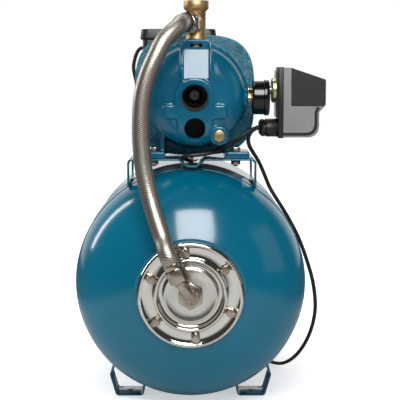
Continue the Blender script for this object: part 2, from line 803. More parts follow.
def make_tank_shell(carrier, paint):
    """Two dished ends and a rolled cylinder, open at the front mouth and at the valve's hole."""
    neck_y = FLANGE_DEPTH + GAP
    dome_radius = TANK_RADIUS - JOGGLE
    valve_hole = VALVE_STEM_RADIUS + GAP
    seam_y = DOME_START_Y + SEAM_FROM_DOME
    bead = [
        (TANK_RADIUS + SEAM_HEIGHT * math.sin(a), seam_y - SEAM_WIDTH / 2 * math.cos(a))
        for a in (0, math.pi / 3, 2 * math.pi / 3, math.pi)
    ]
    outer = [(MOUTH_RADIUS, neck_y), (NECK_RADIUS, neck_y)]
    outer += dome_outline(dome_radius, DOME_DEPTH, DOME_START_Y, -1, NECK_RADIUS, 6)
    outer += [(TANK_RADIUS, DOME_START_Y + JOGGLE)] + bead + [(TANK_RADIUS, CYLINDER_END_Y - JOGGLE)]
    outer += dome_outline(dome_radius, DOME_DEPTH, CYLINDER_END_Y, 1, valve_hole, 6)[::-1]
    inner_radius, inner_depth = dome_radius - TANK_WALL, DOME_DEPTH - TANK_WALL
    ring_back_y = neck_y + NECK_DEPTH
    ring_share = (DOME_START_Y - ring_back_y) / inner_depth
    ring_radius = inner_radius * math.sqrt(1 - ring_share**2)
    inner = dome_outline(inner_radius, inner_depth, CYLINDER_END_Y, 1, valve_hole, 4)
    inner += dome_outline(inner_radius, inner_depth, DOME_START_Y, -1, ring_radius, 3)[::-1]
    inner += [(MOUTH_RADIUS, ring_back_y)]
    shell = turned("tank_shell", outer + inner, (0, 0, TANK_AXIS_Z), "Y", TANK_SIDES)
    hole_radius = BOLT_RADIUS + BOLT_HOLE_CLEARANCE
    for angle in bolt_angles():
        x, z = BOLT_CIRCLE_RADIUS * math.cos(angle), BOLT_CIRCLE_RADIUS * math.sin(angle)
        depth = neck_y + BOLT_GRIP + GAP
        cut(shell, rod("hole", hole_radius, (x, 0, z), (x, depth, z), 8, (0, 0, TANK_AXIS_Z)))
    return finished(shell, paint, carrier)


def make_flange(carrier, chrome):
    """The pressed, plated ring that closes the tank's mouth and holds the membrane's lip."""
    front = [(FLANGE_HOLE_RADIUS, FLANGE_SEAT_Y), *FLANGE_PRESSING, (FLANGE_RADIUS, FLANGE_DEPTH)]
    lip_seat_y = FLANGE_DEPTH - MEMBRANE_WALL - GAP
    back = [
        (FLANGE_RADIUS - FLANGE_SHEET, FLANGE_DEPTH),
        (FLANGE_ROLL_INNER, FLANGE_SEAT_Y + FLANGE_SHEET),
        (MEMBRANE_LIP_RADIUS + GAP, FLANGE_SEAT_Y + FLANGE_SHEET),
        (MEMBRANE_LIP_RADIUS + GAP, lip_seat_y),
        (FLANGE_HOLE_RADIUS, lip_seat_y),
    ]
    flange = turned("tank_flange", front + back, (0, 0, TANK_AXIS_Z), "Y", 32)
    hole_radius = BOLT_RADIUS + BOLT_HOLE_CLEARANCE
    for angle in bolt_angles():
        x, z = BOLT_CIRCLE_RADIUS * math.cos(angle), BOLT_CIRCLE_RADIUS * math.sin(angle)
        start, end = (x, -OVERSHOOT, z), (x, FLANGE_DEPTH + OVERSHOOT, z)
        cut(flange, rod("hole", hole_radius, start, end, 8, (0, 0, TANK_AXIS_Z)))
    return finished(flange, chrome, carrier)


def make_membrane(carrier, rubber):
    """The bag that holds the water, with its lip under the flange."""
    lip_y = FLANGE_DEPTH - MEMBRANE_WALL
    neck = MOUTH_RADIUS - 2 * GAP
    wall = MEMBRANE_WALL
    bag = [
        (neck, FLANGE_DEPTH + NECK_DEPTH + wall),
        (0.72 * MEMBRANE_RADIUS, 0.050),
        (0.93 * MEMBRANE_RADIUS, 0.092),
        (MEMBRANE_RADIUS, 0.140),
        (MEMBRANE_RADIUS, MEMBRANE_REACH_Y - 0.070),
        (0.88 * MEMBRANE_RADIUS, MEMBRANE_REACH_Y - 0.028),
        (0.55 * MEMBRANE_RADIUS, MEMBRANE_REACH_Y - 0.005),
    ]
    inside = [(radius - wall, reach + (wall if reach < 0.140 else -wall)) for radius, reach in bag]
    outline = [(0.040, lip_y), (MEMBRANE_LIP_RADIUS, lip_y), (MEMBRANE_LIP_RADIUS, FLANGE_DEPTH)]
    outline += [(neck, FLANGE_DEPTH)] + bag + [(0, MEMBRANE_REACH_Y)]
    inner = [(0, MEMBRANE_REACH_Y - wall)] + inside[::-1] + [(0.040, FLANGE_DEPTH)]
    shape = bmesh.new()
    points = [shape.verts.new((radius, 0, reach)) for radius, reach in outline + inner]
    split = len(outline)
    edges = [shape.edges.new(pair) for pair in zip(points[:split], points[1:split])]
    edges += [shape.edges.new(pair) for pair in zip(points[split:], points[split + 1 :])]
    edges.append(shape.edges.new((points[-1], points[0])))
    bmesh.ops.spin(
        shape,
        geom=points + edges,
        cent=(0, 0, 0),
        axis=(0, 0, 1),
        angle=math.tau,
        steps=16,
        use_merge=True,
    )
    bmesh.ops.transform(shape, matrix=axis_matrix("Y"), verts=shape.verts)
    membrane = placed("tank_membrane", shape, (0, 0, TANK_AXIS_Z))
    return finished(membrane, rubber, carrier)


def make_flange_bolts(carrier, steel):
    """Bolts through the flange into the tank's mouth ring."""
    for index, angle in enumerate(bolt_angles(), 1):
        x = BOLT_CIRCLE_RADIUS * math.cos(angle)
        z = TANK_AXIS_Z + BOLT_CIRCLE_RADIUS * math.sin(angle)
        seat = (x, FLANGE_SEAT_Y - GAP, z)
        length = FLANGE_DEPTH + BOLT_GRIP - FLANGE_SEAT_Y
        name = f"flange_bolt_{index}"
        piece = bolt(name, seat, (0, 1, 0), BOLT_HEAD_FLATS, BOLT_HEAD_HEIGHT, BOLT_RADIUS, length)
        finished(piece, steel, carrier)


def make_foot(name, side, centre_y, carrier, paint):
    """A bent strip foot: a sole with a bolt hole, an outer leg with a knee and a short inner leg."""
    sole_z = FOOT_STRIP / 2
    inner_x = FOOT_CENTRE_X - FOOT_SOLE_WIDTH / 2
    outer_x = FOOT_CENTRE_X + FOOT_SOLE_WIDTH / 2
    knee_x = outer_x + FOOT_BEND_OUT
    line = [
        (side * (inner_x - 0.009), 0.042),
        (side * inner_x, sole_z),
        (side * outer_x, sole_z),
        (side * knee_x, FOOT_BEND_Z),
        (side * (knee_x - 0.018), FOOT_BEND_Z + 0.038),
    ]
    outline = strip(rounded(line, 0.0045, 3, closed=False), FOOT_STRIP)
    start = centre_y - FOOT_LENGTH / 2
    foot = prism(name, outline, FOOT_LENGTH, (0, start, 0), "Y")
    cut(foot, tank_room(GAP, start - OVERSHOOT, start + FOOT_LENGTH + OVERSHOOT))
    hole = (side * FOOT_CENTRE_X, centre_y)
    low, high = (*hole, -OVERSHOOT), (*hole, FOOT_STRIP + OVERSHOOT)
    cut(foot, rod("hole", FOOT_HOLE_RADIUS, low, high, 16))
    return finished(foot, paint, carrier)


def make_platform(carrier, paint):
    """The folded sheet that the pump stands on: a plate with a groove, and side walls with windows."""
    middle_z = PLATFORM_TOP_Z - PLATFORM_SHEET / 2
    tank_top = TANK_AXIS_Z + TANK_RADIUS
    groove_z = tank_top + SEAM_HEIGHT + GAP + PLATFORM_SHEET / 2
    half = (PLATFORM_WIDTH - PLATFORM_SHEET) / 2
    foot_z = TANK_AXIS_Z + TANK_RADIUS / 2
    right = [(GROOVE_FLOOR / 2, groove_z), (GROOVE_WIDTH / 2, middle_z), (half, middle_z), (half, foot_z)]
    line = [(-x, z) for x, z in right[::-1]] + right
    outline = strip(rounded(line, PLATFORM_BEND, 3, closed=False), PLATFORM_SHEET)
    where = (PLATFORM_CENTRE_X, PLATFORM_FRONT_Y, 0)
    platform = prism("pump_platform", outline, PLATFORM_LENGTH, where, "Y")
    end_y = PLATFORM_FRONT_Y + PLATFORM_LENGTH
    cut(platform, tank_room(GAP, PLATFORM_FRONT_Y - OVERSHOOT, end_y + OVERSHOOT))
    sill_z = TANK_AXIS_Z + math.sqrt(TANK_RADIUS**2 - half**2) + SEAM_HEIGHT + WINDOW_SILL
    low = (-PLATFORM_WIDTH, WINDOW_FROM_FRONT, sill_z)
    high = (PLATFORM_WIDTH, WINDOW_FROM_FRONT + WINDOW_LENGTH, middle_z - PLATFORM_BEND)
    cut(platform, block("windows", low, high, where))
    for side in (-1, 1):
        spot = (PUMP_X + side * FEET_BOLT_X, FEET_BOLT_Y)
        low, high = (*spot, PLATFORM_TOP_Z - 0.010), (*spot, PLATFORM_TOP_Z + OVERSHOOT)
        cut(platform, rod("hole", FEET_BOLT_RADIUS + BOLT_HOLE_CLEARANCE, low, high, 12))
    return finished(platform, paint, carrier)


def make_air_valve(carrier, brass, plastic, steel):
    """The filling valve in the tank's rear end, with a pin that is pressed in to let air through."""
    apex_y = CYLINDER_END_Y + DOME_DEPTH
    seat_y = apex_y + GAP
    tip_y = seat_y + VALVE_STEM_LENGTH - 0.010
    root_y = seat_y - 0.010
    where = (0, 0, TANK_AXIS_Z)
    pin_tail_y = tip_y - VALVE_PIN_LENGTH
    outline = [
        (VALVE_BORE_RADIUS, root_y),
        (VALVE_STEM_RADIUS, root_y),
        (VALVE_STEM_RADIUS, seat_y),
        (VALVE_COLLAR_RADIUS, seat_y),
        (VALVE_COLLAR_RADIUS, seat_y + 0.004),
        (VALVE_STEM_RADIUS, seat_y + 0.006),
        (VALVE_STEM_RADIUS, tip_y),
        (VALVE_BORE_RADIUS, tip_y),
        (VALVE_BORE_RADIUS, pin_tail_y + 0.006),
        (VALVE_PIN_RADIUS + GAP, pin_tail_y + 0.005),
        (VALVE_PIN_RADIUS + GAP, pin_tail_y + 0.003),
        (VALVE_BORE_RADIUS, pin_tail_y + 0.002),
    ]
    finished(turned("air_valve_stem", outline, where, "Y", 16), brass, carrier)
    cap_y = seat_y + 0.008
    end_y = cap_y + VALVE_CAP_LENGTH
    clear = VALVE_STEM_RADIUS + GAP
    outline = [
        (clear, cap_y),
        (VALVE_CAP_RADIUS, cap_y),
        (VALVE_CAP_RADIUS, end_y + 0.004),
        (VALVE_CAP_RADIUS - 0.001, end_y + 0.005),
        (0, end_y + 0.005),
    ]
    cap = turned("air_valve_cap", outline + [(0, tip_y + 0.002), (clear, tip_y + 0.002)], where, "Y", 20)
    finished(cap, plastic, carrier)
    pin_axis = empty("air_valve_axis", (0, tip_y, TANK_AXIS_Z), carrier)
    start, end = (0, pin_tail_y, TANK_AXIS_Z), (0, tip_y + 0.001, TANK_AXIS_Z)
    finished(rod("air_valve_pin", VALVE_PIN_RADIUS, start, end, 10), steel, pin_axis)


def elbow_way():
    """The direction in which the elbow's mouth points."""
    return Vector((-math.sin(ELBOW_LEAN), 0, math.cos(ELBOW_LEAN)))


def elbow_centre():
    """Where the elbow's two axes cross."""
    return Vector((0, -ELBOW_OUT, TANK_AXIS_Z))


def make_elbow(carrier, nickel):
    """The elbow that is screwed into the flange and turns up to the hose."""
    base_y = FLANGE_SEAT_Y - GAP
    front_y = base_y - ELBOW_HEX_DEPTH
    where = (0, 0, TANK_AXIS_Z)
    elbow = hexagon("tank_elbow", ELBOW_HEX_FLATS, (0, front_y, 0), (0, base_y, 0), where)
    shank = (0, front_y + 0.002, 0), (0, FLANGE_DEPTH + 0.004, 0)
    fuse(elbow, rod("shank", FLANGE_HOLE_RADIUS - GAP, *shank, 24, where))
    collar = (0, front_y - 0.003, 0), (0, front_y + 0.001, 0)
    fuse(elbow, rod("collar", ELBOW_COLLAR_RADIUS, *collar, 24, where))
    centre, way = elbow_centre(), elbow_way()
    out = Vector((0, -1, 0))
    start = centre - out * ELBOW_BEND_RADIUS
    turn_centre = start + way * ELBOW_BEND_RADIUS
    line = [Vector((0, front_y, TANK_AXIS_Z))]
    for step in range(9):
        angle = math.pi / 2 * step / 8
        spoke = out * math.sin(angle) - way * math.cos(angle)
        line.append(turn_centre + spoke * ELBOW_BEND_RADIUS)
    line.append(centre + way * ELBOW_REACH)
    fuse(elbow, pipe("bend", line, ELBOW_TUBE_RADIUS))
    return finished(elbow, nickel, carrier)


def make_union(name, start, way, flats, length, carrier, nickel):
    """A union nut with the crimped ferrule; it starts at a face and points along the hose."""
    start, way = Vector(start), Vector(way).normalized()
    nut_end = start + way * length
    union = hexagon(name, flats, start, nut_end)
    sleeve = rod("ferrule", FERRULE_RADIUS, nut_end - way * OVERSHOOT, nut_end + way * FERRULE_LENGTH, 24)
    fuse(union, sleeve)
    return finished(union, nickel, carrier)


def plate_outline(inset=0.0):
    """The bowed square outline that the casing, its gasket and the bracket share, round the pump's axis."""
    half = PLATE_HALF - inset
    points = []
    for step in range(32):
        angle = math.tau * (step + 0.5) / 32
        c, s = math.cos(angle), math.sin(angle)
        reach = half / (abs(c) ** PLATE_POWER + abs(s) ** PLATE_POWER) ** (1 / PLATE_POWER)
        points.append((reach * c, reach * s))
    return points


def corner_spots():
    """Where the four bolts of the casing stand, from the pump's axis."""
    return [(x * CORNER_BOLT_REACH, z * CORNER_BOLT_REACH) for x in (-1, 1) for z in (-1, 1)]


def drum_outline(front_y, radius):
    """The casing's drum as (radius, y) points, closed on the axis at both ends."""
    plate_y = CASING_BACK_Y - PLATE_DEPTH
    edge = arc((radius - CASING_EDGE, front_y + CASING_EDGE), CASING_EDGE, -math.pi / 2, 0, 4)
    flare = [(radius + CASING_DRAFT, plate_y - 0.008), (radius + CASING_DRAFT + 0.005, plate_y + 0.002)]
    return [(0, front_y)] + edge + flare + [(0, plate_y + 0.002)]


def make_casing(carrier, cast_paint):
    """The cast pump body: drum, plate, feet, front pad, discharge boss, ports and the chamber inside."""
    where = (PUMP_X, 0, PUMP_Z)
    face_y = CASING_FRONT_Y + PAD_RISE
    plate_y = CASING_BACK_Y - PLATE_DEPTH
    casing = turned("pump_casing", drum_outline(face_y, CASING_RADIUS), where, "Y", 36)
    fuse(casing, prism("plate", plate_outline(), PLATE_DEPTH, (PUMP_X, plate_y, PUMP_Z), "Y"))

    right = [
        (PAD_STEM, -PAD_FOOT_DROP),
        (PAD_STEM, -PAD_ARM_LOW),
        (PAD_ARM, -PAD_ARM_LOW),
        (PAD_ARM, -PAD_ARM_HIGH),
        (PAD_LOBE, -PAD_ARM_HIGH),
    ]
    top = arc((0, -PAD_TOP_DROP), PAD_TOP_RADIUS, math.radians(22), math.radians(158), 8)
    cross = rounded(right, [0.001, 0.004, 0.004, 0.004, 0.004], 2, closed=False)
    left = [(-x, z) for x, z in cross[::-1]]
    pad = prism("pad", cross + top + left, 0.020, (PUMP_X, CASING_FRONT_Y, PUMP_Z), "Y")
    keep_inside(pad, turned("pad_room", drum_outline(CASING_FRONT_Y, CASING_RADIUS - 0.001), where, "Y", 36))
    drain = (DRAIN_X, CASING_FRONT_Y, DRAIN_Z - PUMP_Z)
    drain_end = (DRAIN_X, plate_y, DRAIN_Z - PUMP_Z)
    fuse(casing, pad, rod("drain_boss", DRAIN_BOSS_RADIUS, drain, drain_end, 24, where))

    slope = [(face_y, SLOPE_FOOT_Z), (BOSS_FRONT_Y, SLOPE_TOP_Z), (BOSS_FRONT_Y, BOSS_TOP_Z)]
    boss_end_y = BOSS_FRONT_Y + BOSS_DEPTH
    deep = [(boss_end_y, BOSS_TOP_Z), (boss_end_y + 0.012, PUMP_Z + 0.040), (face_y + 0.002, PUMP_Z + 0.020)]
    boss_low = (DISCHARGE_X - BOSS_WIDTH / 2, 0, 0)
    fuse(casing, prism("boss", slope + deep, BOSS_WIDTH, boss_low, "X"))
    side_walls = [(y - 0.003, z) for y, z in slope[:2]] + [(BOSS_FRONT_Y - 0.001, BOSS_TOP_Z - 0.003)]
    side_walls += [(BOSS_FRONT_Y + 0.012, BOSS_TOP_Z - 0.003), (boss_end_y, PUMP_Z + 0.060)]
    side_walls += [(boss_end_y, PUMP_Z + 0.040), (face_y + 0.004, PUMP_Z + 0.018)]
    for start_x in (-BOSS_WIDTH / 2 - SLOPE_WALL, BOSS_WIDTH / 2 - 0.0005):
        wall = prism("side_wall", side_walls, SLOPE_WALL + 0.0005, (DISCHARGE_X + start_x, 0, 0), "X")
        fuse(casing, wall)

    for side in (-1, 1):
        inner, outer = PUMP_X + side * FEET_INNER_X, PUMP_X + side * FEET_OUTER_X
        low = (min(inner, outer), FEET_FRONT_Y, FEET_SOLE_Z)
        high = (max(inner, outer), CASING_BACK_Y, FEET_SOLE_Z + FEET_THICKNESS)
        rib_x = PUMP_X + side * (FEET_INNER_X + RIB_THICKNESS / 2)
        rib_low = (rib_x - RIB_THICKNESS / 2, FEET_BOLT_Y - 0.006, FEET_SOLE_Z + 0.001)
        rib_high = (rib_x + RIB_THICKNESS / 2, plate_y + 0.001, PUMP_Z - RIB_TOP_DROP)
        fuse(casing, block("foot", low, high), block("rib", rib_low, rib_high))
        spot = (PUMP_X + side * FEET_BOLT_X, FEET_BOLT_Y)
        hole_radius = FEET_BOLT_RADIUS + BOLT_HOLE_CLEARANCE
        hole_top_z = FEET_SOLE_Z + FEET_THICKNESS + OVERSHOOT
        cut(casing, rod("hole", hole_radius, (*spot, FEET_SOLE_Z - OVERSHOOT), (*spot, hole_top_z), 12))

    gauge = ((PUMP_X + 0.070, GAUGE_Y, GAUGE_Z), (GAUGE_BOSS_X, GAUGE_Y, GAUGE_Z))
    switch = ((PUMP_X + 0.070, SWITCH_Y, SWITCH_Z), (SWITCH_BOSS_X, SWITCH_Y, SWITCH_Z))
    fuse(casing, rod("gauge_boss", SIDE_BOSS_RADIUS, *gauge, 20))
    fuse(casing, rod("switch_boss", SIDE_BOSS_RADIUS, *switch, 20))

    inside_y = face_y + CASING_WALL
    chamber = [
        (0, inside_y),
        (CASING_BORE - 0.012, inside_y),
        (CASING_BORE, inside_y + 0.012),
        (CASING_BORE, CASING_BACK_Y + OVERSHOOT),
        (0, CASING_BACK_Y + OVERSHOOT),
    ]
    cut(casing, turned("chamber", chamber, where, "Y", 28))
    outside_y = CASING_FRONT_Y - OVERSHOOT
    suction = [(PUMP_X, y, SUCTION_Z) for y in (outside_y, inside_y + OVERSHOOT)]
    step = [(PUMP_X, y, SUCTION_Z) for y in (outside_y, CASING_FRONT_Y + 0.003)]
    ejector = [(PUMP_X, y, EJECTOR_Z) for y in (outside_y, inside_y + 0.010)]
    discharge = [(DISCHARGE_X, TEE_Y, z) for z in (PUMP_Z + CASING_BORE - 0.010, BOSS_TOP_Z + OVERSHOOT)]
    cut(
        casing,
        rod("suction", SUCTION_RADIUS, *suction, 28),
        rod("suction_step", SUCTION_RADIUS + SUCTION_STEP, *step, 28),
        rod("ejector", EJECTOR_RADIUS, *ejector, 24),
        rod("discharge", TEE_SHANK_RADIUS + GAP, *discharge, 20),
    )
    half = BOSS_WINDOW_WIDTH / 2
    low = (DISCHARGE_X - half, BOSS_FRONT_Y - OVERSHOOT, BOSS_WINDOW_Z - BOSS_WINDOW_HEIGHT / 2)
    high = (DISCHARGE_X + half, TEE_Y, BOSS_WINDOW_Z + BOSS_WINDOW_HEIGHT / 2)
    cut(casing, block("window", low, high))
    drain_start = (PUMP_X + DRAIN_X, CASING_FRONT_Y - OVERSHOOT, DRAIN_Z)
    drain_inner = (PUMP_X + DRAIN_X, CASING_FRONT_Y + 0.030, DRAIN_Z)
    cut(casing, rod("drain", DRAIN_SHANK_RADIUS + GAP, drain_start, drain_inner, 16))
    gauge_hole = [(x, GAUGE_Y, GAUGE_Z) for x in (GAUGE_BOSS_X - 0.010, GAUGE_BOSS_X + OVERSHOOT)]
    switch_hole = [(x, SWITCH_Y, SWITCH_Z) for x in (SWITCH_BOSS_X - 0.010, SWITCH_BOSS_X + OVERSHOOT)]
    cut(casing, rod("gauge_hole", GAUGE_SHANK_RADIUS + GAP, *gauge_hole, 16))
    cut(casing, rod("switch_hole", NIPPLE_RADIUS + GAP, *switch_hole, 16))
    for x, z in corner_spots():
        start, end = (x, plate_y - OVERSHOOT, z), (x, CASING_BACK_Y + OVERSHOOT, z)
        cut(casing, rod("hole", CORNER_BOLT_RADIUS + BOLT_HOLE_CLEARANCE, start, end, 8, where))
    return finished(casing, cast_paint, carrier)


def make_gasket(carrier, rubber):
    """The flat gasket between the casing and the bracket."""
    spot = (PUMP_X, GASKET_Y, PUMP_Z)
    gasket = prism("casing_gasket", plate_outline(GASKET_INSET), GASKET_DEPTH, spot, "Y")
    where = (PUMP_X, 0, PUMP_Z)
    low_y, high_y = GASKET_Y - OVERSHOOT, GASKET_Y + GASKET_DEPTH + OVERSHOOT
    cut(gasket, rod("bore", CASING_BORE, (0, low_y, 0), (0, high_y, 0), 28, where))
    for x, z in corner_spots():
        hole_radius = CORNER_BOLT_RADIUS + BOLT_HOLE_CLEARANCE
        cut(gasket, rod("hole", hole_radius, (x, low_y, z), (x, high_y, z), 8, where))
    return finished(gasket, rubber, carrier)


def make_bracket(carrier, cast_paint):
    """The plate, hub and neck between pump and motor, with seats for the seal and the front bearing."""
    where = (PUMP_X, 0, PUMP_Z)
    back_y = BRACKET_PLATE_BACK_Y
    neck_end_y = back_y + BRACKET_NECK_DEPTH
    bearing_y = neck_end_y - 0.004
    seal_hole = SEAL_RADIUS + 0.0015
    shaft_hole = SHAFT_RADIUS + 0.003
    bracket = prism("pump_bracket", plate_outline(), BRACKET_PLATE, (PUMP_X, BRACKET_Y, PUMP_Z), "Y")
    cut(bracket, rod("centre", 0.048, (0, 0, 0), (0, neck_end_y, 0), 28, where))
    outline = [
        (seal_hole, BRACKET_Y),
        (0.056, BRACKET_Y),
        (BRACKET_NECK_RADIUS, back_y),
        (HOUSING_BODY_RADIUS, neck_end_y - 0.006),
        (HOUSING_BODY_RADIUS, neck_end_y),
        (HOUSING_BODY_RADIUS - BRACKET_WALL, neck_end_y),
        (BRACKET_NECK_RADIUS - BRACKET_WALL, back_y + 0.002),
        (BRACKET_HUB_RADIUS + 0.004, back_y + 0.002),
        (BRACKET_HUB_RADIUS, back_y + 0.008),
        (BRACKET_HUB_RADIUS, bearing_y),
        (BEARING_RADIUS + GAP, bearing_y),
        (BEARING_RADIUS + GAP, bearing_y - BEARING_WIDTH - GAP),
        (shaft_hole, bearing_y - BEARING_WIDTH - GAP),
        (shaft_hole, BRACKET_Y + SEAT_LENGTH + GAP),
        (seal_hole, BRACKET_Y + SEAT_LENGTH + GAP),
    ]
    fuse(bracket, turned("neck", outline, where, "Y", 28))
    for x, z in corner_spots():
        seat = (PUMP_X + x, back_y - 0.0005, PUMP_Z + z)
        screw = (BOLT_HEAD_FLATS, LOW_HEAD_HEIGHT, CORNER_BOLT_RADIUS, CORNER_BOLT_LENGTH)
        fuse(bracket, bolt("bolt", seat, (0, -1, 0), *screw))
    return finished(bracket, cast_paint, carrier)


def make_pump_fasteners(carrier, steel, brass):
    """Foot bolts with their nuts, and the drain plug."""
    top_z = FEET_SOLE_Z + FEET_THICKNESS + GAP
    nut_top_z = PLATFORM_TOP_Z - PLATFORM_SHEET - GAP
    for name, side in (("foot_bolt_left", -1), ("foot_bolt_right", 1)):
        x = PUMP_X + side * FEET_BOLT_X
        length = top_z - nut_top_z + 0.010
        screw = (BOLT_HEAD_FLATS, LOW_HEAD_HEIGHT, FEET_BOLT_RADIUS, length)
        piece = bolt(name, (x, FEET_BOLT_Y, top_z), (0, 0, -1), *screw)
        nut = (x, FEET_BOLT_Y, nut_top_z), (x, FEET_BOLT_Y, nut_top_z - BOLT_HEAD_HEIGHT)
        fuse(piece, hexagon("nut", BOLT_HEAD_FLATS, *nut))
        finished(piece, steel, carrier)
    seat = (PUMP_X + DRAIN_X, CASING_FRONT_Y - GAP, DRAIN_Z)
    plug = bolt("drain_plug", seat, (0, 1, 0), DRAIN_FLATS, DRAIN_HEAD, DRAIN_SHANK_RADIUS, 0.016)
    finished(plug, brass, carrier)


def make_diffuser(carrier, plastic):
    """The suction tube and cup that guide the water to the impeller and collect it."""
    front_y = CASING_FRONT_Y + PAD_RISE + CASING_WALL + GAP
    cup = CASING_BORE - GAP
    end_y = CASING_BACK_Y - 0.004
    outline = [
        (DIFFUSER_BORE, front_y),
        (DIFFUSER_TUBE_RADIUS, front_y),
        (DIFFUSER_TUBE_RADIUS, DIFFUSER_DISC_Y - 0.012),
        (DIFFUSER_TUBE_RADIUS + 0.008, DIFFUSER_DISC_Y - 0.002),
        (cup, DIFFUSER_DISC_Y),
        (cup, end_y),
        (cup - DIFFUSER_WALL, end_y),
        (cup - DIFFUSER_WALL, DIFFUSER_DISC_Y + DIFFUSER_WALL),
        (DIFFUSER_TUBE_RADIUS + 0.006, DIFFUSER_DISC_Y + DIFFUSER_WALL - 0.001),
        (DIFFUSER_BORE, DIFFUSER_DISC_Y - 0.004),
    ]
    diffuser = turned("diffuser", outline, (PUMP_X, 0, PUMP_Z), "Y", 28)
    return finished(diffuser, plastic, carrier)


def make_impeller(carrier, plastic):
    """A closed impeller: two shrouds with swept vanes between them, an eye and a hub."""
    where = (PUMP_X, 0, PUMP_Z)
    front, back = IMPELLER_FRONT_Y, IMPELLER_BACK_Y
    bore = SHAFT_RADIUS - 0.002 + GAP
    shroud = [
        (bore, front - 0.0005),
        (IMPELLER_HUB_RADIUS, front - 0.0005),
        (IMPELLER_HUB_RADIUS + 0.003, back - IMPELLER_SHROUD),
        (IMPELLER_RADIUS, back - IMPELLER_SHROUD),
        (IMPELLER_RADIUS, back),
        (bore, back),
    ]
    impeller = turned("impeller", shroud, where, "Y", 24)
    cover = [
        (IMPELLER_EYE_RADIUS, front - IMPELLER_EYE_LIP),
        (IMPELLER_EYE_RADIUS + 0.0025, front - IMPELLER_EYE_LIP),
        (IMPELLER_EYE_RADIUS + 0.0025, front),
        (IMPELLER_RADIUS, front),
        (IMPELLER_RADIUS, front + IMPELLER_SHROUD),
        (IMPELLER_EYE_RADIUS, front + IMPELLER_SHROUD),
    ]
    ring = turned("cover", cover, where, "Y", 24)
    low_y = front + IMPELLER_SHROUD - 0.0004
    depth = back - IMPELLER_SHROUD + 0.0004 - low_y
    inner, outer = IMPELLER_HUB_RADIUS + 0.002, IMPELLER_RADIUS - 0.0006
    for vane in range(IMPELLER_VANES):
        line = []
        for step in range(5):
            share = step / 4
            angle = math.tau * vane / IMPELLER_VANES - math.radians(70) * share
            reach = inner + (outer - inner) * share
            line.append((reach * math.cos(angle), reach * math.sin(angle)))
        blade = prism("vane", strip(line, IMPELLER_VANE_THICKNESS), depth, (PUMP_X, low_y, PUMP_Z), "Y")
        fuse(ring, blade)
    fuse(impeller, ring)
    return finished(impeller, plastic, carrier)


def make_shaft(carrier, steel):
    """The motor's shaft with the impeller's nut on its front end."""
    where = (PUMP_X, 0, PUMP_Z)
    tip = IMPELLER_FRONT_Y - 0.0105
    clamp_y = IMPELLER_BACK_Y + GAP
    core_y = STATOR_Y - 0.006
    core_end_y = STATOR_Y + STATOR_LENGTH + 0.006
    rear_y = SHIELD_Y + SHIELD_DEPTH
    end_y = FAN_Y + FAN_WIDTH + 0.003
    small = SHAFT_RADIUS - 0.002
    outline = [
        (0, tip + 0.002),
        (0.0015, tip),
        (SHAFT_END_RADIUS, tip),
        (SHAFT_END_RADIUS, tip + 0.004),
        (small, tip + 0.005),
        (small, clamp_y),
        (SHAFT_RADIUS, clamp_y),
        (SHAFT_RADIUS, core_y),
        (SHAFT_CORE_RADIUS, core_y),
        (SHAFT_CORE_RADIUS, core_end_y),
        (SHAFT_RADIUS, core_end_y),
        (SHAFT_RADIUS, rear_y),
        (small, rear_y + 0.001),
        (small, end_y),
        (0, end_y),
    ]
    shaft = turned("shaft", outline, where, "Y", 18)
    nut_y = IMPELLER_FRONT_Y - 0.0008
    fuse(shaft, hexagon("nut", 2 * SHAFT_NUT_RADIUS, (0, nut_y - SHAFT_NUT_DEPTH, 0), (0, nut_y, 0), where))
    return finished(shaft, steel, carrier)


def make_seal(turning, fixed, ceramic, graphite):
    """The two faces of the mechanical seal: one turns with the shaft and one sits in the bracket."""
    where = (PUMP_X, 0, PUMP_Z)
    start_y, end_y = IMPELLER_BACK_Y + GAP, BRACKET_Y - GAP
    rotary = [
        (SHAFT_RADIUS + GAP, start_y),
        (SEAL_RADIUS, start_y),
        (SEAL_RADIUS, end_y - 0.003),
        (SEAL_RADIUS - 0.002, end_y),
        (SHAFT_RADIUS + GAP, end_y),
    ]
    finished(turned("seal_rotary", rotary, where, "Y", 18), graphite, turning)
    outer = SEAL_RADIUS + 0.0015 - GAP
    seat = [
        (SHAFT_RADIUS + 0.0012, BRACKET_Y),
        (outer, BRACKET_Y),
        (outer, BRACKET_Y + SEAT_LENGTH),
        (SHAFT_RADIUS + 0.0012, BRACKET_Y + SEAT_LENGTH),
    ]
    finished(turned("seal_seat", seat, where, "Y", 18), ceramic, fixed)


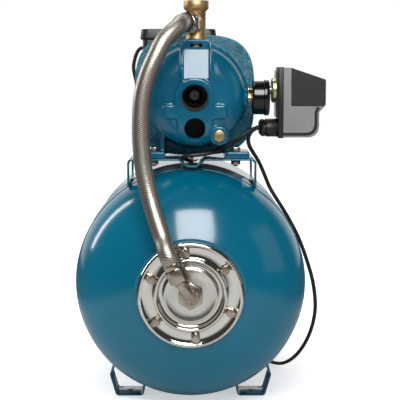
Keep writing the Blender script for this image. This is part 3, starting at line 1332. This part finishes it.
def make_motor(turning, fixed, paint, dark, copper_steel, steel, plastic):
    """Finned housing, stator, rotor core, bearings, rear shield, fan and slotted fan cover."""
    where = (PUMP_X, 0, PUMP_Z)
    outline = []
    half = FIN_THICKNESS / 2
    for fin in range(FIN_COUNT):
        angle = math.tau * (fin + 0.5) / FIN_COUNT
        for reach, offset in (
            (HOUSING_BODY_RADIUS, -half * 1.3),
            (HOUSING_FIN_RADIUS, -half * 0.8),
            (HOUSING_FIN_RADIUS, half * 0.8),
            (HOUSING_BODY_RADIUS, half * 1.3),
        ):
            turn = angle + offset / reach
            outline.append((reach * math.cos(turn), reach * math.sin(turn)))
    housing = prism("motor_housing", outline, HOUSING_LENGTH, (PUMP_X, HOUSING_Y, PUMP_Z), "Y")
    pad_top = BOX_FLOOR_Z - GAP
    pad_half = BOX_PAD_WIDTH / 2
    pad_low = (PUMP_X - pad_half, BOX_FRONT_Y, PUMP_Z + HOUSING_BODY_RADIUS - 0.010)
    pad_high = (PUMP_X + pad_half, BOX_FRONT_Y + BOX_LENGTH, pad_top)
    room_low = (PUMP_X - HOUSING_FIN_RADIUS, BOX_FRONT_Y - GAP, pad_top)
    room_high = (PUMP_X + HOUSING_FIN_RADIUS, BOX_FRONT_Y + BOX_LENGTH + GAP, pad_top + HOUSING_BODY_RADIUS)
    fuse(housing, block("box_pad", pad_low, pad_high))
    cut(housing, block("box_room", room_low, room_high))
    ends = [(0, y, 0) for y in (HOUSING_Y - OVERSHOOT, HOUSING_END_Y + OVERSHOOT)]
    cut(housing, rod("bore", HOUSING_BORE, *ends, 40, where))
    finished(housing, paint, fixed)

    outer = HOUSING_BORE - GAP
    end_y = STATOR_Y + STATOR_LENGTH
    winding = STATOR_INNER + 0.003
    outline = [
        (STATOR_INNER, STATOR_Y),
        (winding, STATOR_Y),
        (winding, STATOR_Y - WINDING_OVERHANG),
        (outer - 0.005, STATOR_Y - WINDING_OVERHANG),
        (outer - 0.003, STATOR_Y),
        (outer, STATOR_Y),
        (outer, end_y),
        (outer - 0.003, end_y),
        (outer - 0.005, end_y + WINDING_OVERHANG),
        (winding, end_y + WINDING_OVERHANG),
        (winding, end_y),
        (STATOR_INNER, end_y),
    ]
    finished(turned("stator", outline, where, "Y", 20), copper_steel, fixed)
    start_y = STATOR_Y - (ROTOR_LENGTH - STATOR_LENGTH) / 2
    outline = [
        (SHAFT_CORE_RADIUS + GAP, start_y),
        (ROTOR_RADIUS, start_y),
        (ROTOR_RADIUS, start_y + ROTOR_LENGTH),
        (SHAFT_CORE_RADIUS + GAP, start_y + ROTOR_LENGTH),
    ]
    finished(turned("rotor_core", outline, where, "Y", 20), steel, turning)

    for name, start_y in (("bearing_front", FRONT_BEARING_Y), ("bearing_rear", SHIELD_Y + 0.002)):
        outline = [
            (SHAFT_RADIUS + GAP, start_y),
            (BEARING_RADIUS, start_y),
            (BEARING_RADIUS, start_y + BEARING_WIDTH),
            (SHAFT_RADIUS + GAP, start_y + BEARING_WIDTH),
        ]
        finished(turned(name, outline, where, "Y", 18), steel, fixed)
    hub = BEARING_RADIUS + GAP
    shoulder_y = SHIELD_Y + 0.002 + BEARING_WIDTH + GAP
    outline = [
        (hub, SHIELD_Y),
        (HOUSING_BODY_RADIUS + 0.003, SHIELD_Y),
        (HOUSING_BODY_RADIUS + 0.003, SHIELD_Y + 0.007),
        (HOUSING_BODY_RADIUS - 0.004, SHIELD_Y + 0.010),
        (BRACKET_HUB_RADIUS, SHIELD_Y + 0.010),
        (BRACKET_HUB_RADIUS - 0.003, SHIELD_Y + SHIELD_DEPTH),
        (SHAFT_RADIUS + 0.001, SHIELD_Y + SHIELD_DEPTH),
        (SHAFT_RADIUS + 0.001, shoulder_y),
        (hub, shoulder_y),
    ]
    finished(turned("rear_end_shield", outline, where, "Y", 24), paint, fixed)

    bore = SHAFT_RADIUS - 0.002 + GAP
    disc = [
        (bore, FAN_Y),
        (FAN_HUB_RADIUS, FAN_Y),
        (FAN_RADIUS, FAN_Y + 0.001),
        (FAN_RADIUS, FAN_Y + 0.003),
        (FAN_HUB_RADIUS, FAN_Y + 0.003),
        (FAN_HUB_RADIUS - 0.002, FAN_Y + FAN_WIDTH),
        (bore, FAN_Y + FAN_WIDTH),
    ]
    fan = turned("fan", disc, where, "Y", 20)
    for index in range(FAN_BLADES):
        angle = math.tau * index / FAN_BLADES
        along = Vector((math.cos(angle), math.sin(angle)))
        line = [along * (FAN_HUB_RADIUS - 0.0015), along * (FAN_RADIUS - 0.0005)]
        start = (PUMP_X, FAN_Y + 0.002, PUMP_Z)
        fuse(fan, prism("blade", strip(line, FAN_BLADE_THICKNESS), FAN_WIDTH - 0.004, start, "Y"))
    finished(fan, plastic, turning)

    inner = COVER_RADIUS - COVER_WALL
    outline = [
        (inner, SHIELD_Y - 0.004),
        (COVER_RADIUS, SHIELD_Y - 0.004),
        (COVER_RADIUS, COVER_END_Y - 0.010),
        (COVER_RADIUS - 0.003, COVER_END_Y - 0.003),
        (COVER_RADIUS - 0.010, COVER_END_Y),
        (0, COVER_END_Y),
    ]
    inside_y = COVER_END_Y - COVER_WALL
    inside = [(0, inside_y), (inner - 0.008, inside_y), (inner, COVER_END_Y - 0.010)]
    cover = turned_shell("fan_cover", outline[1:], inside, where, 28)
    for slot in range(GRILLE_SLOTS):
        angle = math.tau * (slot + 0.5) / GRILLE_SLOTS
        along = Vector((math.cos(angle), math.sin(angle)))
        line = [along * GRILLE_INNER, along * GRILLE_OUTER]
        start = (PUMP_X, COVER_END_Y - COVER_WALL - OVERSHOOT, PUMP_Z)
        cut(cover, prism("slot", strip(line, GRILLE_SLOT_WIDTH), COVER_WALL + 2 * OVERSHOOT, start, "Y"))
    finished(cover, dark, fixed)


def turned_shell(name, outer, inner, where, sides):
    """A turned cup: the outer outline ends on the axis, the inner one starts there and ends at the rim."""
    shape = bmesh.new()
    rim = (inner[-1][0], outer[0][1])
    groups = [[rim] + outer, inner + [rim]]
    for points in groups:
        made = [shape.verts.new((radius, 0, reach)) for radius, reach in points]
        for pair in zip(made, made[1:]):
            shape.edges.new(pair)
    bmesh.ops.remove_doubles(shape, verts=shape.verts, dist=1e-7)
    bmesh.ops.spin(
        shape,
        geom=shape.verts[:] + shape.edges[:],
        cent=(0, 0, 0),
        axis=(0, 0, 1),
        angle=math.tau,
        steps=sides,
        use_merge=True,
    )
    bmesh.ops.transform(shape, matrix=axis_matrix("Y"), verts=shape.verts)
    return placed(name, shape, where)


def make_terminal_box(carrier, plastic, grey):
    """The terminal box on the motor, its lid and the capacitor inside."""
    centre_y = BOX_FRONT_Y + BOX_LENGTH / 2
    where = (BOX_CENTRE_X, centre_y, 0)
    box = prism("terminal_box", rectangle(BOX_WIDTH, BOX_LENGTH, BOX_CORNER), BOX_RIM_Z - GAP - BOX_FLOOR_Z,
                (BOX_CENTRE_X, centre_y, BOX_FLOOR_Z), "Z")
    room = rectangle(BOX_WIDTH - 2 * BOX_WALL, BOX_LENGTH - 2 * BOX_WALL, BOX_CORNER - BOX_WALL)
    cut(box, prism("room", room, 0.040, (BOX_CENTRE_X, centre_y, BOX_FLOOR_Z + BOX_WALL), "Z"))
    left = BOX_CENTRE_X - BOX_WIDTH / 2
    hole = [(x, BOX_ENTRY_Y, BOX_ENTRY_Z) for x in (left - OVERSHOOT, left + BOX_WALL + OVERSHOOT)]
    cut(box, rod("entry", LEAD_RADIUS + LEAD_ROOM, *hole, 16))
    finished(box, plastic, carrier)
    lid_outline = rectangle(BOX_WIDTH + 2 * LID_LIP, BOX_LENGTH + 2 * LID_LIP, BOX_CORNER + LID_LIP)
    top_outline = rectangle(BOX_WIDTH + LID_LIP, BOX_LENGTH + LID_LIP, BOX_CORNER)
    layers = [(lid_outline, BOX_RIM_Z), (lid_outline, BOX_TOP_Z - 0.003), (top_outline, BOX_TOP_Z)]
    lid = loft("terminal_box_lid", layers, where)
    room = rectangle(BOX_WIDTH - 2 * BOX_WALL, BOX_LENGTH - 2 * BOX_WALL, BOX_CORNER - BOX_WALL)
    depth = BOX_TOP_Z - BOX_RIM_Z - BOX_WALL + OVERSHOOT
    cut(lid, prism("room", room, depth, (BOX_CENTRE_X, centre_y, BOX_RIM_Z - OVERSHOOT), "Z"))
    finished(lid, plastic, carrier)
    axis_z = BOX_FLOOR_Z + BOX_WALL + GAP + CAPACITOR_RADIUS
    half = CAPACITOR_LENGTH / 2
    ends = [(BOX_CENTRE_X + x, centre_y + CAPACITOR_SET_BACK, axis_z) for x in (-half, half)]
    finished(rod("capacitor", CAPACITOR_RADIUS, *ends, 20), grey, carrier)


def loft(name, sections, where):
    """A closed body through outlines of equal length at rising heights."""
    shape = bmesh.new()
    loops = []
    for outline, height in sections:
        points = [shape.verts.new((u, v, height)) for u, v in outline]
        loops.append([shape.edges.new(pair) for pair in zip(points, points[1:] + points[:1])])
    for lower, upper in zip(loops, loops[1:]):
        bmesh.ops.bridge_loops(shape, edges=lower + upper)
    for loop in (loops[0], loops[-1]):
        bmesh.ops.contextual_create(shape, geom=loop)
    return placed(name, shape, where)


def tee_branch():
    """The tee's branch: where its axis leaves the tee's own, and its direction."""
    way = Vector((-math.sin(TEE_BRANCH_TURN), -math.cos(TEE_BRANCH_TURN), 0))
    return Vector((DISCHARGE_X, TEE_Y, TEE_BRANCH_Z)), way


def make_tee(carrier, brass):
    """The brass tee on the discharge: shank, column, socket ring on top and a branch for the hose."""
    seat_z = BOSS_TOP_Z + GAP
    ring_z = TEE_TOP_Z - TEE_RING_HEIGHT
    outline = [
        (0, BOSS_TOP_Z - TEE_SHANK_LENGTH),
        (TEE_SHANK_RADIUS, BOSS_TOP_Z - TEE_SHANK_LENGTH),
        (TEE_SHANK_RADIUS, seat_z),
        (TEE_RADIUS + 0.0012, seat_z),
        (TEE_RADIUS + 0.0012, seat_z + 0.003),
        (TEE_RADIUS, seat_z + 0.005),
        (TEE_RADIUS, ring_z - 0.0045),
        (TEE_RING_RADIUS, ring_z),
        (TEE_RING_RADIUS, TEE_TOP_Z - 0.001),
        (TEE_RING_RADIUS - 0.001, TEE_TOP_Z),
        (0, TEE_TOP_Z),
    ]
    tee = turned("brass_tee", outline, (DISCHARGE_X, TEE_Y, 0), "Z", 24)
    start, way = tee_branch()
    fuse(tee, rod("branch", TEE_BRANCH_RADIUS - 0.002, start, start + way * TEE_BRANCH_REACH, 20))
    mouth = start + way * TEE_BRANCH_REACH
    fuse(tee, rod("ring", TEE_BRANCH_RADIUS, mouth - way * 0.005, mouth, 20))
    column = (DISCHARGE_X, TEE_Y, 0)
    shank_z = BOSS_TOP_Z - TEE_SHANK_LENGTH - OVERSHOOT
    cut(tee, rod("bore", TEE_BORE, (0, 0, shank_z), (0, 0, TEE_TOP_Z + OVERSHOOT), 18, column))
    socket = (0, 0, TEE_TOP_Z - TEE_SOCKET_DEPTH), (0, 0, TEE_TOP_Z + OVERSHOOT)
    cut(tee, rod("socket", TEE_SOCKET_RADIUS, *socket, 24, column))
    cut(tee, rod("branch_bore", TEE_BORE, start, start + way * (TEE_BRANCH_REACH + OVERSHOOT), 18))
    return finished(tee, brass, carrier)


def make_hose(carrier, braid, nickel):
    """The braided hose from the tee down to the tank's elbow, with a union nut at each end."""
    start, way = tee_branch()
    upper_face = start + way * (TEE_BRANCH_REACH + GAP)
    make_union("hose_nut_upper", upper_face, way, UPPER_UNION_FLATS, UPPER_UNION_LENGTH, carrier, nickel)
    lower_way = elbow_way()
    lower_face = elbow_centre() + lower_way * (ELBOW_REACH + GAP)
    make_union("hose_nut_lower", lower_face, lower_way, UNION_FLATS, UNION_LENGTH, carrier, nickel)
    top = upper_face + way * (UPPER_UNION_LENGTH + FERRULE_LENGTH + GAP)
    bottom = lower_face + lower_way * (UNION_LENGTH + FERRULE_LENGTH + GAP)
    route = [*raised(HOSE_FROM_BRANCH, TEE_BRANCH_Z), *raised(HOSE_TO_TANK, TANK_AXIS_Z)]
    line = smooth_line([top, *route, bottom], 0.013, way, -lower_way, HOSE_STRAIGHT)
    return finished(tube("hose", line, HOSE_RADIUS, 2), braid, carrier)


def make_gauge(carrier, brass, plastic, glass, pointer_finish):
    """Pressure gauge: hexagon stem, case with a recessed dial, pointer on its spindle and lens."""
    where = (0, GAUGE_Y, GAUGE_Z)
    hex_x = GAUGE_BOSS_X + GAP
    stem = hexagon("gauge_stem", GAUGE_HEX_FLATS, (hex_x, 0, 0), (hex_x + GAUGE_HEX_DEPTH, 0, 0), where)
    fuse(stem, rod("shank", GAUGE_SHANK_RADIUS, (hex_x - 0.008, 0, 0), (hex_x + 0.001, 0, 0), 16, where))
    finished(stem, brass, carrier)
    bezel_x = GAUGE_BACK_X + GAUGE_DEPTH
    end_x = bezel_x + BEZEL_DEPTH
    dial_x = end_x - DIAL_DEPTH
    lens_x = end_x - 0.001 - LENS_THICKNESS
    inner = BEZEL_RADIUS - GAUGE_WALL
    outline = [
        (0, GAUGE_BACK_X),
        (GAUGE_RADIUS - 0.001, GAUGE_BACK_X),
        (GAUGE_RADIUS, GAUGE_BACK_X + 0.001),
        (GAUGE_RADIUS, bezel_x),
        (BEZEL_RADIUS, bezel_x + 0.0005),
        (BEZEL_RADIUS, end_x - 0.001),
        (BEZEL_RADIUS - 0.001, end_x),
        (inner, end_x),
        (inner, lens_x - GAP),
        (inner - 0.0015, lens_x - GAP),
        (inner - 0.0015, dial_x),
        (0.0016, dial_x),
        (0.0016, dial_x - 0.004),
        (0, dial_x - 0.004),
    ]
    finished(turned("gauge_case", outline, where, "X", 24), plastic, carrier)
    axis = empty("gauge_axis", (dial_x, GAUGE_Y, GAUGE_Z), carrier)
    along = Vector((math.cos(POINTER_ZERO), math.sin(POINTER_ZERO)))
    side = Vector((-along.y, along.x))
    tail, tip = -along * POINTER_TAIL, along * POINTER_LENGTH
    outline = [tail + side * 0.0012, tail - side * 0.0012, tip - side * 0.0003, tip + side * 0.0003]
    plate_x = dial_x + 0.0012
    pointer = prism("gauge_pointer", outline, POINTER_THICKNESS, (plate_x, GAUGE_Y, GAUGE_Z), "X")
    hub = rod("hub", 0.0022, (dial_x + 0.0005, 0, 0), (plate_x + POINTER_THICKNESS, 0, 0), 16, where)
    spindle = rod("spindle", 0.0012, (dial_x - 0.003, 0, 0), (dial_x + 0.001, 0, 0), 10, where)
    fuse(pointer, hub, spindle)
    finished(pointer, pointer_finish, axis)
    outer_x = lens_x + LENS_THICKNESS
    lens_outline = [(0, lens_x), (inner - GAP, lens_x), (inner - GAP, outer_x), (0, outer_x)]
    finished(turned("gauge_lens", lens_outline, where, "X", 24), glass, carrier)


def inset_outline(points, distance):
    """An anticlockwise outline moved inwards by a wall's thickness."""
    result = []
    count = len(points)
    for i, point in enumerate(points):
        here = Vector(point)
        before = (here - Vector(points[i - 1])).normalized()
        after = (Vector(points[(i + 1) % count]) - here).normalized()
        normal = Vector((-before.y, before.x)) + Vector((-after.y, after.x))
        scale = distance / (1 + before.dot(after))
        result.append(tuple(here + normal * scale))
    return result


def make_switch(carrier, brass, zinc, plastic, spring_steel):
    """Pressure switch: nipple, zinc base with its diaphragm cap, cover, glands, rocker and range spring."""
    line = [(x, SWITCH_Y, SWITCH_Z) for x in (SWITCH_BOSS_X - 0.008, CAP_LEFT_X - GAP)]
    nipple = rod("switch_nipple", NIPPLE_RADIUS, *line, 20)
    hex_ends = [(x, SWITCH_Y, SWITCH_Z) for x in (CAP_LEFT_X - 0.012, CAP_LEFT_X - 0.003)]
    fuse(nipple, hexagon("hex", NIPPLE_HEX_FLATS, *hex_ends))
    finished(nipple, brass, carrier)

    where = (0, SWITCH_Y, SWITCH_Z)
    plate_end_x = BASE_PLATE_X + BASE_PLATE_DEPTH
    cap = [
        (0, CAP_LEFT_X),
        (CAP_RADIUS - 0.004, CAP_LEFT_X),
        (CAP_RADIUS, CAP_LEFT_X + 0.003),
        (CAP_RADIUS, BASE_PLATE_X + 0.001),
        (0, BASE_PLATE_X + 0.001),
    ]
    base = turned("switch_base", cap, where, "X", 24)
    low_y, high_y = SWITCH_Y - SWITCH_WIDTH / 2, SWITCH_Y + SWITCH_WIDTH / 2
    fuse(base, block("plate", (BASE_PLATE_X, low_y, BASE_LOW_Z), (plate_end_x, high_y, BASE_HIGH_Z)))
    lug_gap = ROCKER_WIDTH / 2 + RUNNING_GAP
    for side in (-1, 1):
        near, far = SWITCH_Y + side * lug_gap, SWITCH_Y + side * (lug_gap + LUG_THICKNESS)
        low = (plate_end_x - 0.001, min(near, far), ROCKER_PIVOT_Z - 0.0045)
        high = (ROCKER_X + 0.0055, max(near, far), ROCKER_PIVOT_Z + 0.0045)
        fuse(base, block("lug", low, high))
    reach = lug_gap + LUG_THICKNESS + OVERSHOOT
    pivot_line = [(ROCKER_X, SWITCH_Y + y, ROCKER_PIVOT_Z) for y in (-reach, reach)]
    cut(base, rod("pivot_hole", ROCKER_PIN_RADIUS + GAP, *pivot_line, 14))
    stud_z = ROCKER_PIVOT_Z - SPRING_DROP
    spring_x = ROCKER_X + ROCKER_THICKNESS / 2 + GAP
    nut_x = spring_x + SPRING_LENGTH + GAP
    stud = [(x, SWITCH_Y, stud_z) for x in (plate_end_x - 0.001, nut_x + 0.005)]
    nut = [(x, SWITCH_Y, stud_z) for x in (nut_x, nut_x + 0.004)]
    fuse(base, rod("stud", STUD_RADIUS, *stud, 12), hexagon("nut", 0.012, *nut))
    finished(base, zinc, carrier)

    axis = empty("rocker_axis", (ROCKER_X, SWITCH_Y, ROCKER_PIVOT_Z), carrier)
    half = ROCKER_THICKNESS / 2
    low = (ROCKER_X - half, SWITCH_Y - ROCKER_WIDTH / 2, ROCKER_PIVOT_Z - ROCKER_LENGTH)
    high = (ROCKER_X + half, SWITCH_Y + ROCKER_WIDTH / 2, ROCKER_PIVOT_Z + 0.003)
    rocker = block("switch_rocker", low, high)
    pin_reach = lug_gap + LUG_THICKNESS
    pin = [(ROCKER_X, SWITCH_Y + y, ROCKER_PIVOT_Z) for y in (-pin_reach, pin_reach)]
    fuse(rocker, rod("pin", ROCKER_PIN_RADIUS, *pin, 14))
    hole = [(x, SWITCH_Y, stud_z) for x in (ROCKER_X - 0.01, ROCKER_X + 0.01)]
    cut(rocker, rod("hole", STUD_RADIUS + 0.0015, *hole, 16))
    finished(rocker, spring_steel, axis)

    steps = SPRING_TURNS * 10
    rise = SPRING_LENGTH - 2 * SPRING_WIRE
    coil = []
    for step in range(steps + 1):
        angle = math.tau * step / 10
        x = spring_x + SPRING_WIRE + rise * step / steps
        coil.append((x, SWITCH_Y + SPRING_RADIUS * math.cos(angle), stud_z + SPRING_RADIUS * math.sin(angle)))
    finished(tube("switch_spring", coil, SPRING_WIRE, 1), spring_steel, carrier)

    outline = [
        (COVER_LEFT_X, COVER_LOW_Z),
        (COVER_STEP_X, COVER_LOW_Z),
        (COVER_STEP_X, COVER_STEP_Z),
        (COVER_RIGHT_X, COVER_NOSE_LOW_Z),
        (COVER_RIGHT_X, COVER_NOSE_HIGH_Z),
        (COVER_TOP_FLAT_X, COVER_HIGH_Z),
        (COVER_LEFT_X, COVER_HIGH_Z),
    ]
    radii = [0.0005, COVER_CORNER, 0.006, 0.004, 0.004, 0.006, 0.0005]
    inner_radii = [0.0005, COVER_CORNER - COVER_SHELL, 0.006, 0.002, 0.002, 0.005, 0.0005]
    cover = prism("switch_cover", rounded(outline, radii, 4), SWITCH_WIDTH, (0, low_y, 0), "Y")
    rim_low = (COVER_LEFT_X, low_y - COVER_RIM_RISE, COVER_LOW_Z - COVER_RIM_RISE)
    rim_high = (COVER_LEFT_X + COVER_RIM_WIDTH, high_y + COVER_RIM_RISE, COVER_HIGH_Z + COVER_RIM_RISE)
    fuse(cover, block("rim", rim_low, rim_high))
    for start_y in (low_y - 0.01, high_y - COVER_RECESS):
        low = (COVER_TOP_FLAT_X, start_y, COVER_NOSE_LOW_Z - 0.002)
        high = (COVER_RIGHT_X + 0.01, start_y + 0.01 + COVER_RECESS * (start_y < SWITCH_Y - 0.031), COVER_HIGH_Z)
        cut(cover, block("recess", low, high))
    inner = rounded(inset_outline(outline, COVER_SHELL), inner_radii, 3)
    wall_y = COVER_SHELL + COVER_RECESS
    cut(cover, prism("room", inner, SWITCH_WIDTH - 2 * wall_y, (0, low_y + wall_y, 0), "Y"))
    mouth_low = (COVER_LEFT_X - OVERSHOOT, low_y + wall_y, BASE_LOW_Z + 0.004)
    mouth_high = (COVER_LEFT_X + COVER_SHELL + OVERSHOOT, high_y - wall_y, BASE_HIGH_Z - 0.004)
    cut(cover, block("mouth", mouth_low, mouth_high))
    for y in (GLAND_NEAR_Y, GLAND_FAR_Y):
        hole = [(x, y, GLAND_Z) for x in (COVER_LEFT_X - OVERSHOOT, COVER_LEFT_X + COVER_SHELL + OVERSHOOT)]
        cut(cover, rod("gland_hole", GLAND_NECK_RADIUS + GAP, *hole, 20))
    finished(cover, plastic, carrier)

    for name, y in (("cable_gland_motor", GLAND_NEAR_Y), ("cable_gland_mains", GLAND_FAR_Y)):
        bore = LEAD_RADIUS + LEAD_ROOM
        face_x = COVER_LEFT_X - GAP
        body = [
            (bore, GLAND_NUT_LEFT_X),
            (GLAND_RADIUS - 0.005, GLAND_NUT_LEFT_X),
            (GLAND_RADIUS - 0.001, GLAND_NUT_LEFT_X + 0.003),
            (GLAND_RADIUS - 0.0005, GLAND_BODY_LEFT_X - 0.0006),
            (GLAND_RADIUS - 0.0020, GLAND_BODY_LEFT_X - 0.0003),
            (GLAND_RADIUS - 0.0020, GLAND_BODY_LEFT_X + 0.0007),
            (GLAND_RADIUS, GLAND_BODY_LEFT_X + 0.0010),
            (GLAND_RADIUS, face_x),
            (GLAND_NECK_RADIUS, face_x),
            (GLAND_NECK_RADIUS, face_x + GLAND_NECK_REACH),
            (bore, face_x + GLAND_NECK_REACH),
        ]
        finished(turned(name, body, (0, y, GLAND_Z), "X", 18), plastic, carrier)


def make_leads(carrier, rubber):
    """The lead to the terminal box, and the mains cord with its coil and plug."""
    inside_x = GLAND_NUT_LEFT_X + 0.002
    leave = Vector((-1, 0, 0))
    left = BOX_CENTRE_X - BOX_WIDTH / 2
    entry = (left + BOX_WALL, BOX_ENTRY_Y, BOX_ENTRY_Z)
    route = [(inside_x, GLAND_NEAR_Y, GLAND_Z), *raised(LEAD_FROM_GLAND, GLAND_Z)]
    route += [*raised(LEAD_ON_PLATFORM, PLATFORM_TOP_Z), *raised(LEAD_TO_BOX, BOX_ENTRY_Z), entry]
    line = smooth_line(route, 0.014, leave, -leave, LEAD_STRAIGHT)
    finished(tube("motor_lead", line, LEAD_RADIUS, 2), rubber, carrier)

    centre = Vector((COIL_CENTRE_X, COIL_CENTRE_Y, 0))
    meet = math.radians(COIL_MEET_ANGLE)
    out = Vector((math.cos(meet), math.sin(meet), 0))
    along = Vector((-math.sin(meet), math.cos(meet), 0))
    lie_z = LEAD_RADIUS + GAP
    end = centre + out * (COIL_OUTER_RADIUS + LEAD_RADIUS + GAP) + Vector((0, 0, lie_z))
    route = [(inside_x, GLAND_FAR_Y, GLAND_Z), *raised(CORD_FROM_GLAND, GLAND_Z)]
    route += [*raised(CORD_PAST_PLATFORM, PLATFORM_TOP_Z), *CORD_ROUND_TANK, *CORD_ON_FLOOR, end]
    line = smooth_line(route, 0.014, leave, along, LEAD_STRAIGHT)
    for point in line:
        point.z = max(point.z, lie_z)
    finished(tube("power_cord", line, LEAD_RADIUS, 2), rubber, carrier)

    half = COIL_TURNS_WIDE * LEAD_RADIUS
    height = COIL_TURNS_HIGH * 2 * LEAD_RADIUS
    ring = [
        (COIL_MEAN_RADIUS - half, 0),
        (COIL_MEAN_RADIUS + half, 0),
        (COIL_MEAN_RADIUS + half, height),
        (COIL_MEAN_RADIUS - half, height),
    ]
    finished(turned("cord_coil", ring, (*centre.xy, GAP), "Z", 24), rubber, carrier)

    leave_angle = meet + math.pi
    out = Vector((math.cos(leave_angle), math.sin(leave_angle), 0))
    turn = leave_angle + math.pi / 2 - PLUG_TURN
    way = Vector((math.cos(turn), math.sin(turn), 0))
    start_reach = COIL_OUTER_RADIUS + PLUG_TAIL_RADIUS * math.cos(PLUG_TURN) + GAP
    start = centre + out * start_reach + Vector((0, 0, height / 2 + GAP))
    shoulder = start + way * PLUG_TAIL_LENGTH
    shoulder.z = PLUG_RADIUS + GAP
    face = shoulder + way * PLUG_BODY_LENGTH
    plug = rod("mains_plug", PLUG_RADIUS, shoulder, face, 24)
    neck = shoulder + way * 0.004
    fuse(plug, rod("tail", PLUG_TAIL_RADIUS, start, neck, 16, end_radius=PLUG_TAIL_RADIUS + 0.003))
    side = Vector((-way.y, way.x, 0)) * PLUG_PIN_SPACING / 2
    for offset in (side, -side):
        root = face + offset
        fuse(plug, rod("pin", PLUG_PIN_RADIUS, root - way * 0.002, root + way * PLUG_PIN_LENGTH, 12))
    finished(plug, rubber, carrier)


def stand_on_origin(frame_empty, left_out):
    """Move the set so that the middle of its footprint, without the loose cord, is at the origin."""
    depsgraph = bpy.context.evaluated_depsgraph_get()
    corners = []
    for piece in bpy.context.scene.objects:
        if piece.type in ("MESH", "CURVE") and piece.name not in left_out:
            solid = piece.evaluated_get(depsgraph)
            corners += [piece.matrix_world @ Vector(corner) for corner in solid.bound_box]
    middle = [(max(c[i] for c in corners) + min(c[i] for c in corners)) / 2 for i in (0, 1)]
    frame_empty.location = (-middle[0], -middle[1], -min(c.z for c in corners))
    bpy.context.view_layer.update()


def main():
    clear_scene()
    blue = material("blue_paint", (0.0, 0.40, 0.52), 0.18)
    cast_blue = material("cast_blue_paint", (0.0, 0.38, 0.50), 0.32)
    chrome = material("chrome", (0.78, 0.78, 0.78), 0.08, 1.0)
    nickel = material("nickel", (0.74, 0.69, 0.63), 0.22, 1.0)
    brass = material("brass", (0.80, 0.62, 0.34), 0.3, 1.0)
    steel = material("steel", (0.70, 0.68, 0.65), 0.3, 1.0)
    zinc = material("zinc", (0.72, 0.70, 0.56), 0.35, 1.0)
    braid = material("steel_braid", (0.66, 0.62, 0.57), 0.38, 1.0)
    rubber = material("black_rubber", (0.05, 0.05, 0.05), 0.6)
    black_plastic = material("black_plastic", (0.13, 0.13, 0.13), 0.45)
    brown_plastic = material("brown_plastic", (0.36, 0.27, 0.18), 0.5)
    white = material("white_plastic", (0.85, 0.84, 0.80), 0.5)
    copper_steel = material("copper_winding", (0.58, 0.36, 0.24), 0.45, 1.0)
    glass = material("clear_lens", (0.90, 0.92, 0.92), 0.05)
    red = material("pointer_paint", (0.70, 0.10, 0.08), 0.4)

    base = empty("pump_set", (0, 0, 0))
    make_tank_shell(base, blue)
    make_flange(base, chrome)
    make_membrane(base, rubber)
    make_flange_bolts(base, nickel)
    feet_y = {"front": FOOT_FRONT_Y, "rear": DOME_START_Y + CYLINDER_END_Y - FOOT_FRONT_Y}
    for end, centre_y in feet_y.items():
        for side_name, side in (("left", -1), ("right", 1)):
            make_foot(f"tank_foot_{end}_{side_name}", side, centre_y, base, blue)
    make_platform(base, blue)
    make_air_valve(base, brass, black_plastic, steel)
    make_elbow(base, nickel)

    rotor_axis = empty("rotor_axis", (PUMP_X, IMPELLER_FRONT_Y, PUMP_Z), base)
    make_casing(base, cast_blue)
    make_gasket(base, rubber)
    make_bracket(base, cast_blue)
    make_pump_fasteners(base, steel, brass)
    make_diffuser(base, brown_plastic)
    make_impeller(rotor_axis, brown_plastic)
    make_shaft(rotor_axis, steel)
    make_seal(rotor_axis, base, white, rubber)
    make_motor(rotor_axis, base, cast_blue, black_plastic, copper_steel, steel, black_plastic)
    make_terminal_box(base, black_plastic, white)
    make_tee(base, brass)
    make_hose(base, braid, nickel)
    make_gauge(base, brass, black_plastic, glass, red)
    make_switch(base, brass, zinc, black_plastic, steel)
    make_leads(base, rubber)
    stand_on_origin(base, {"power_cord", "cord_coil", "mains_plug"})


main()
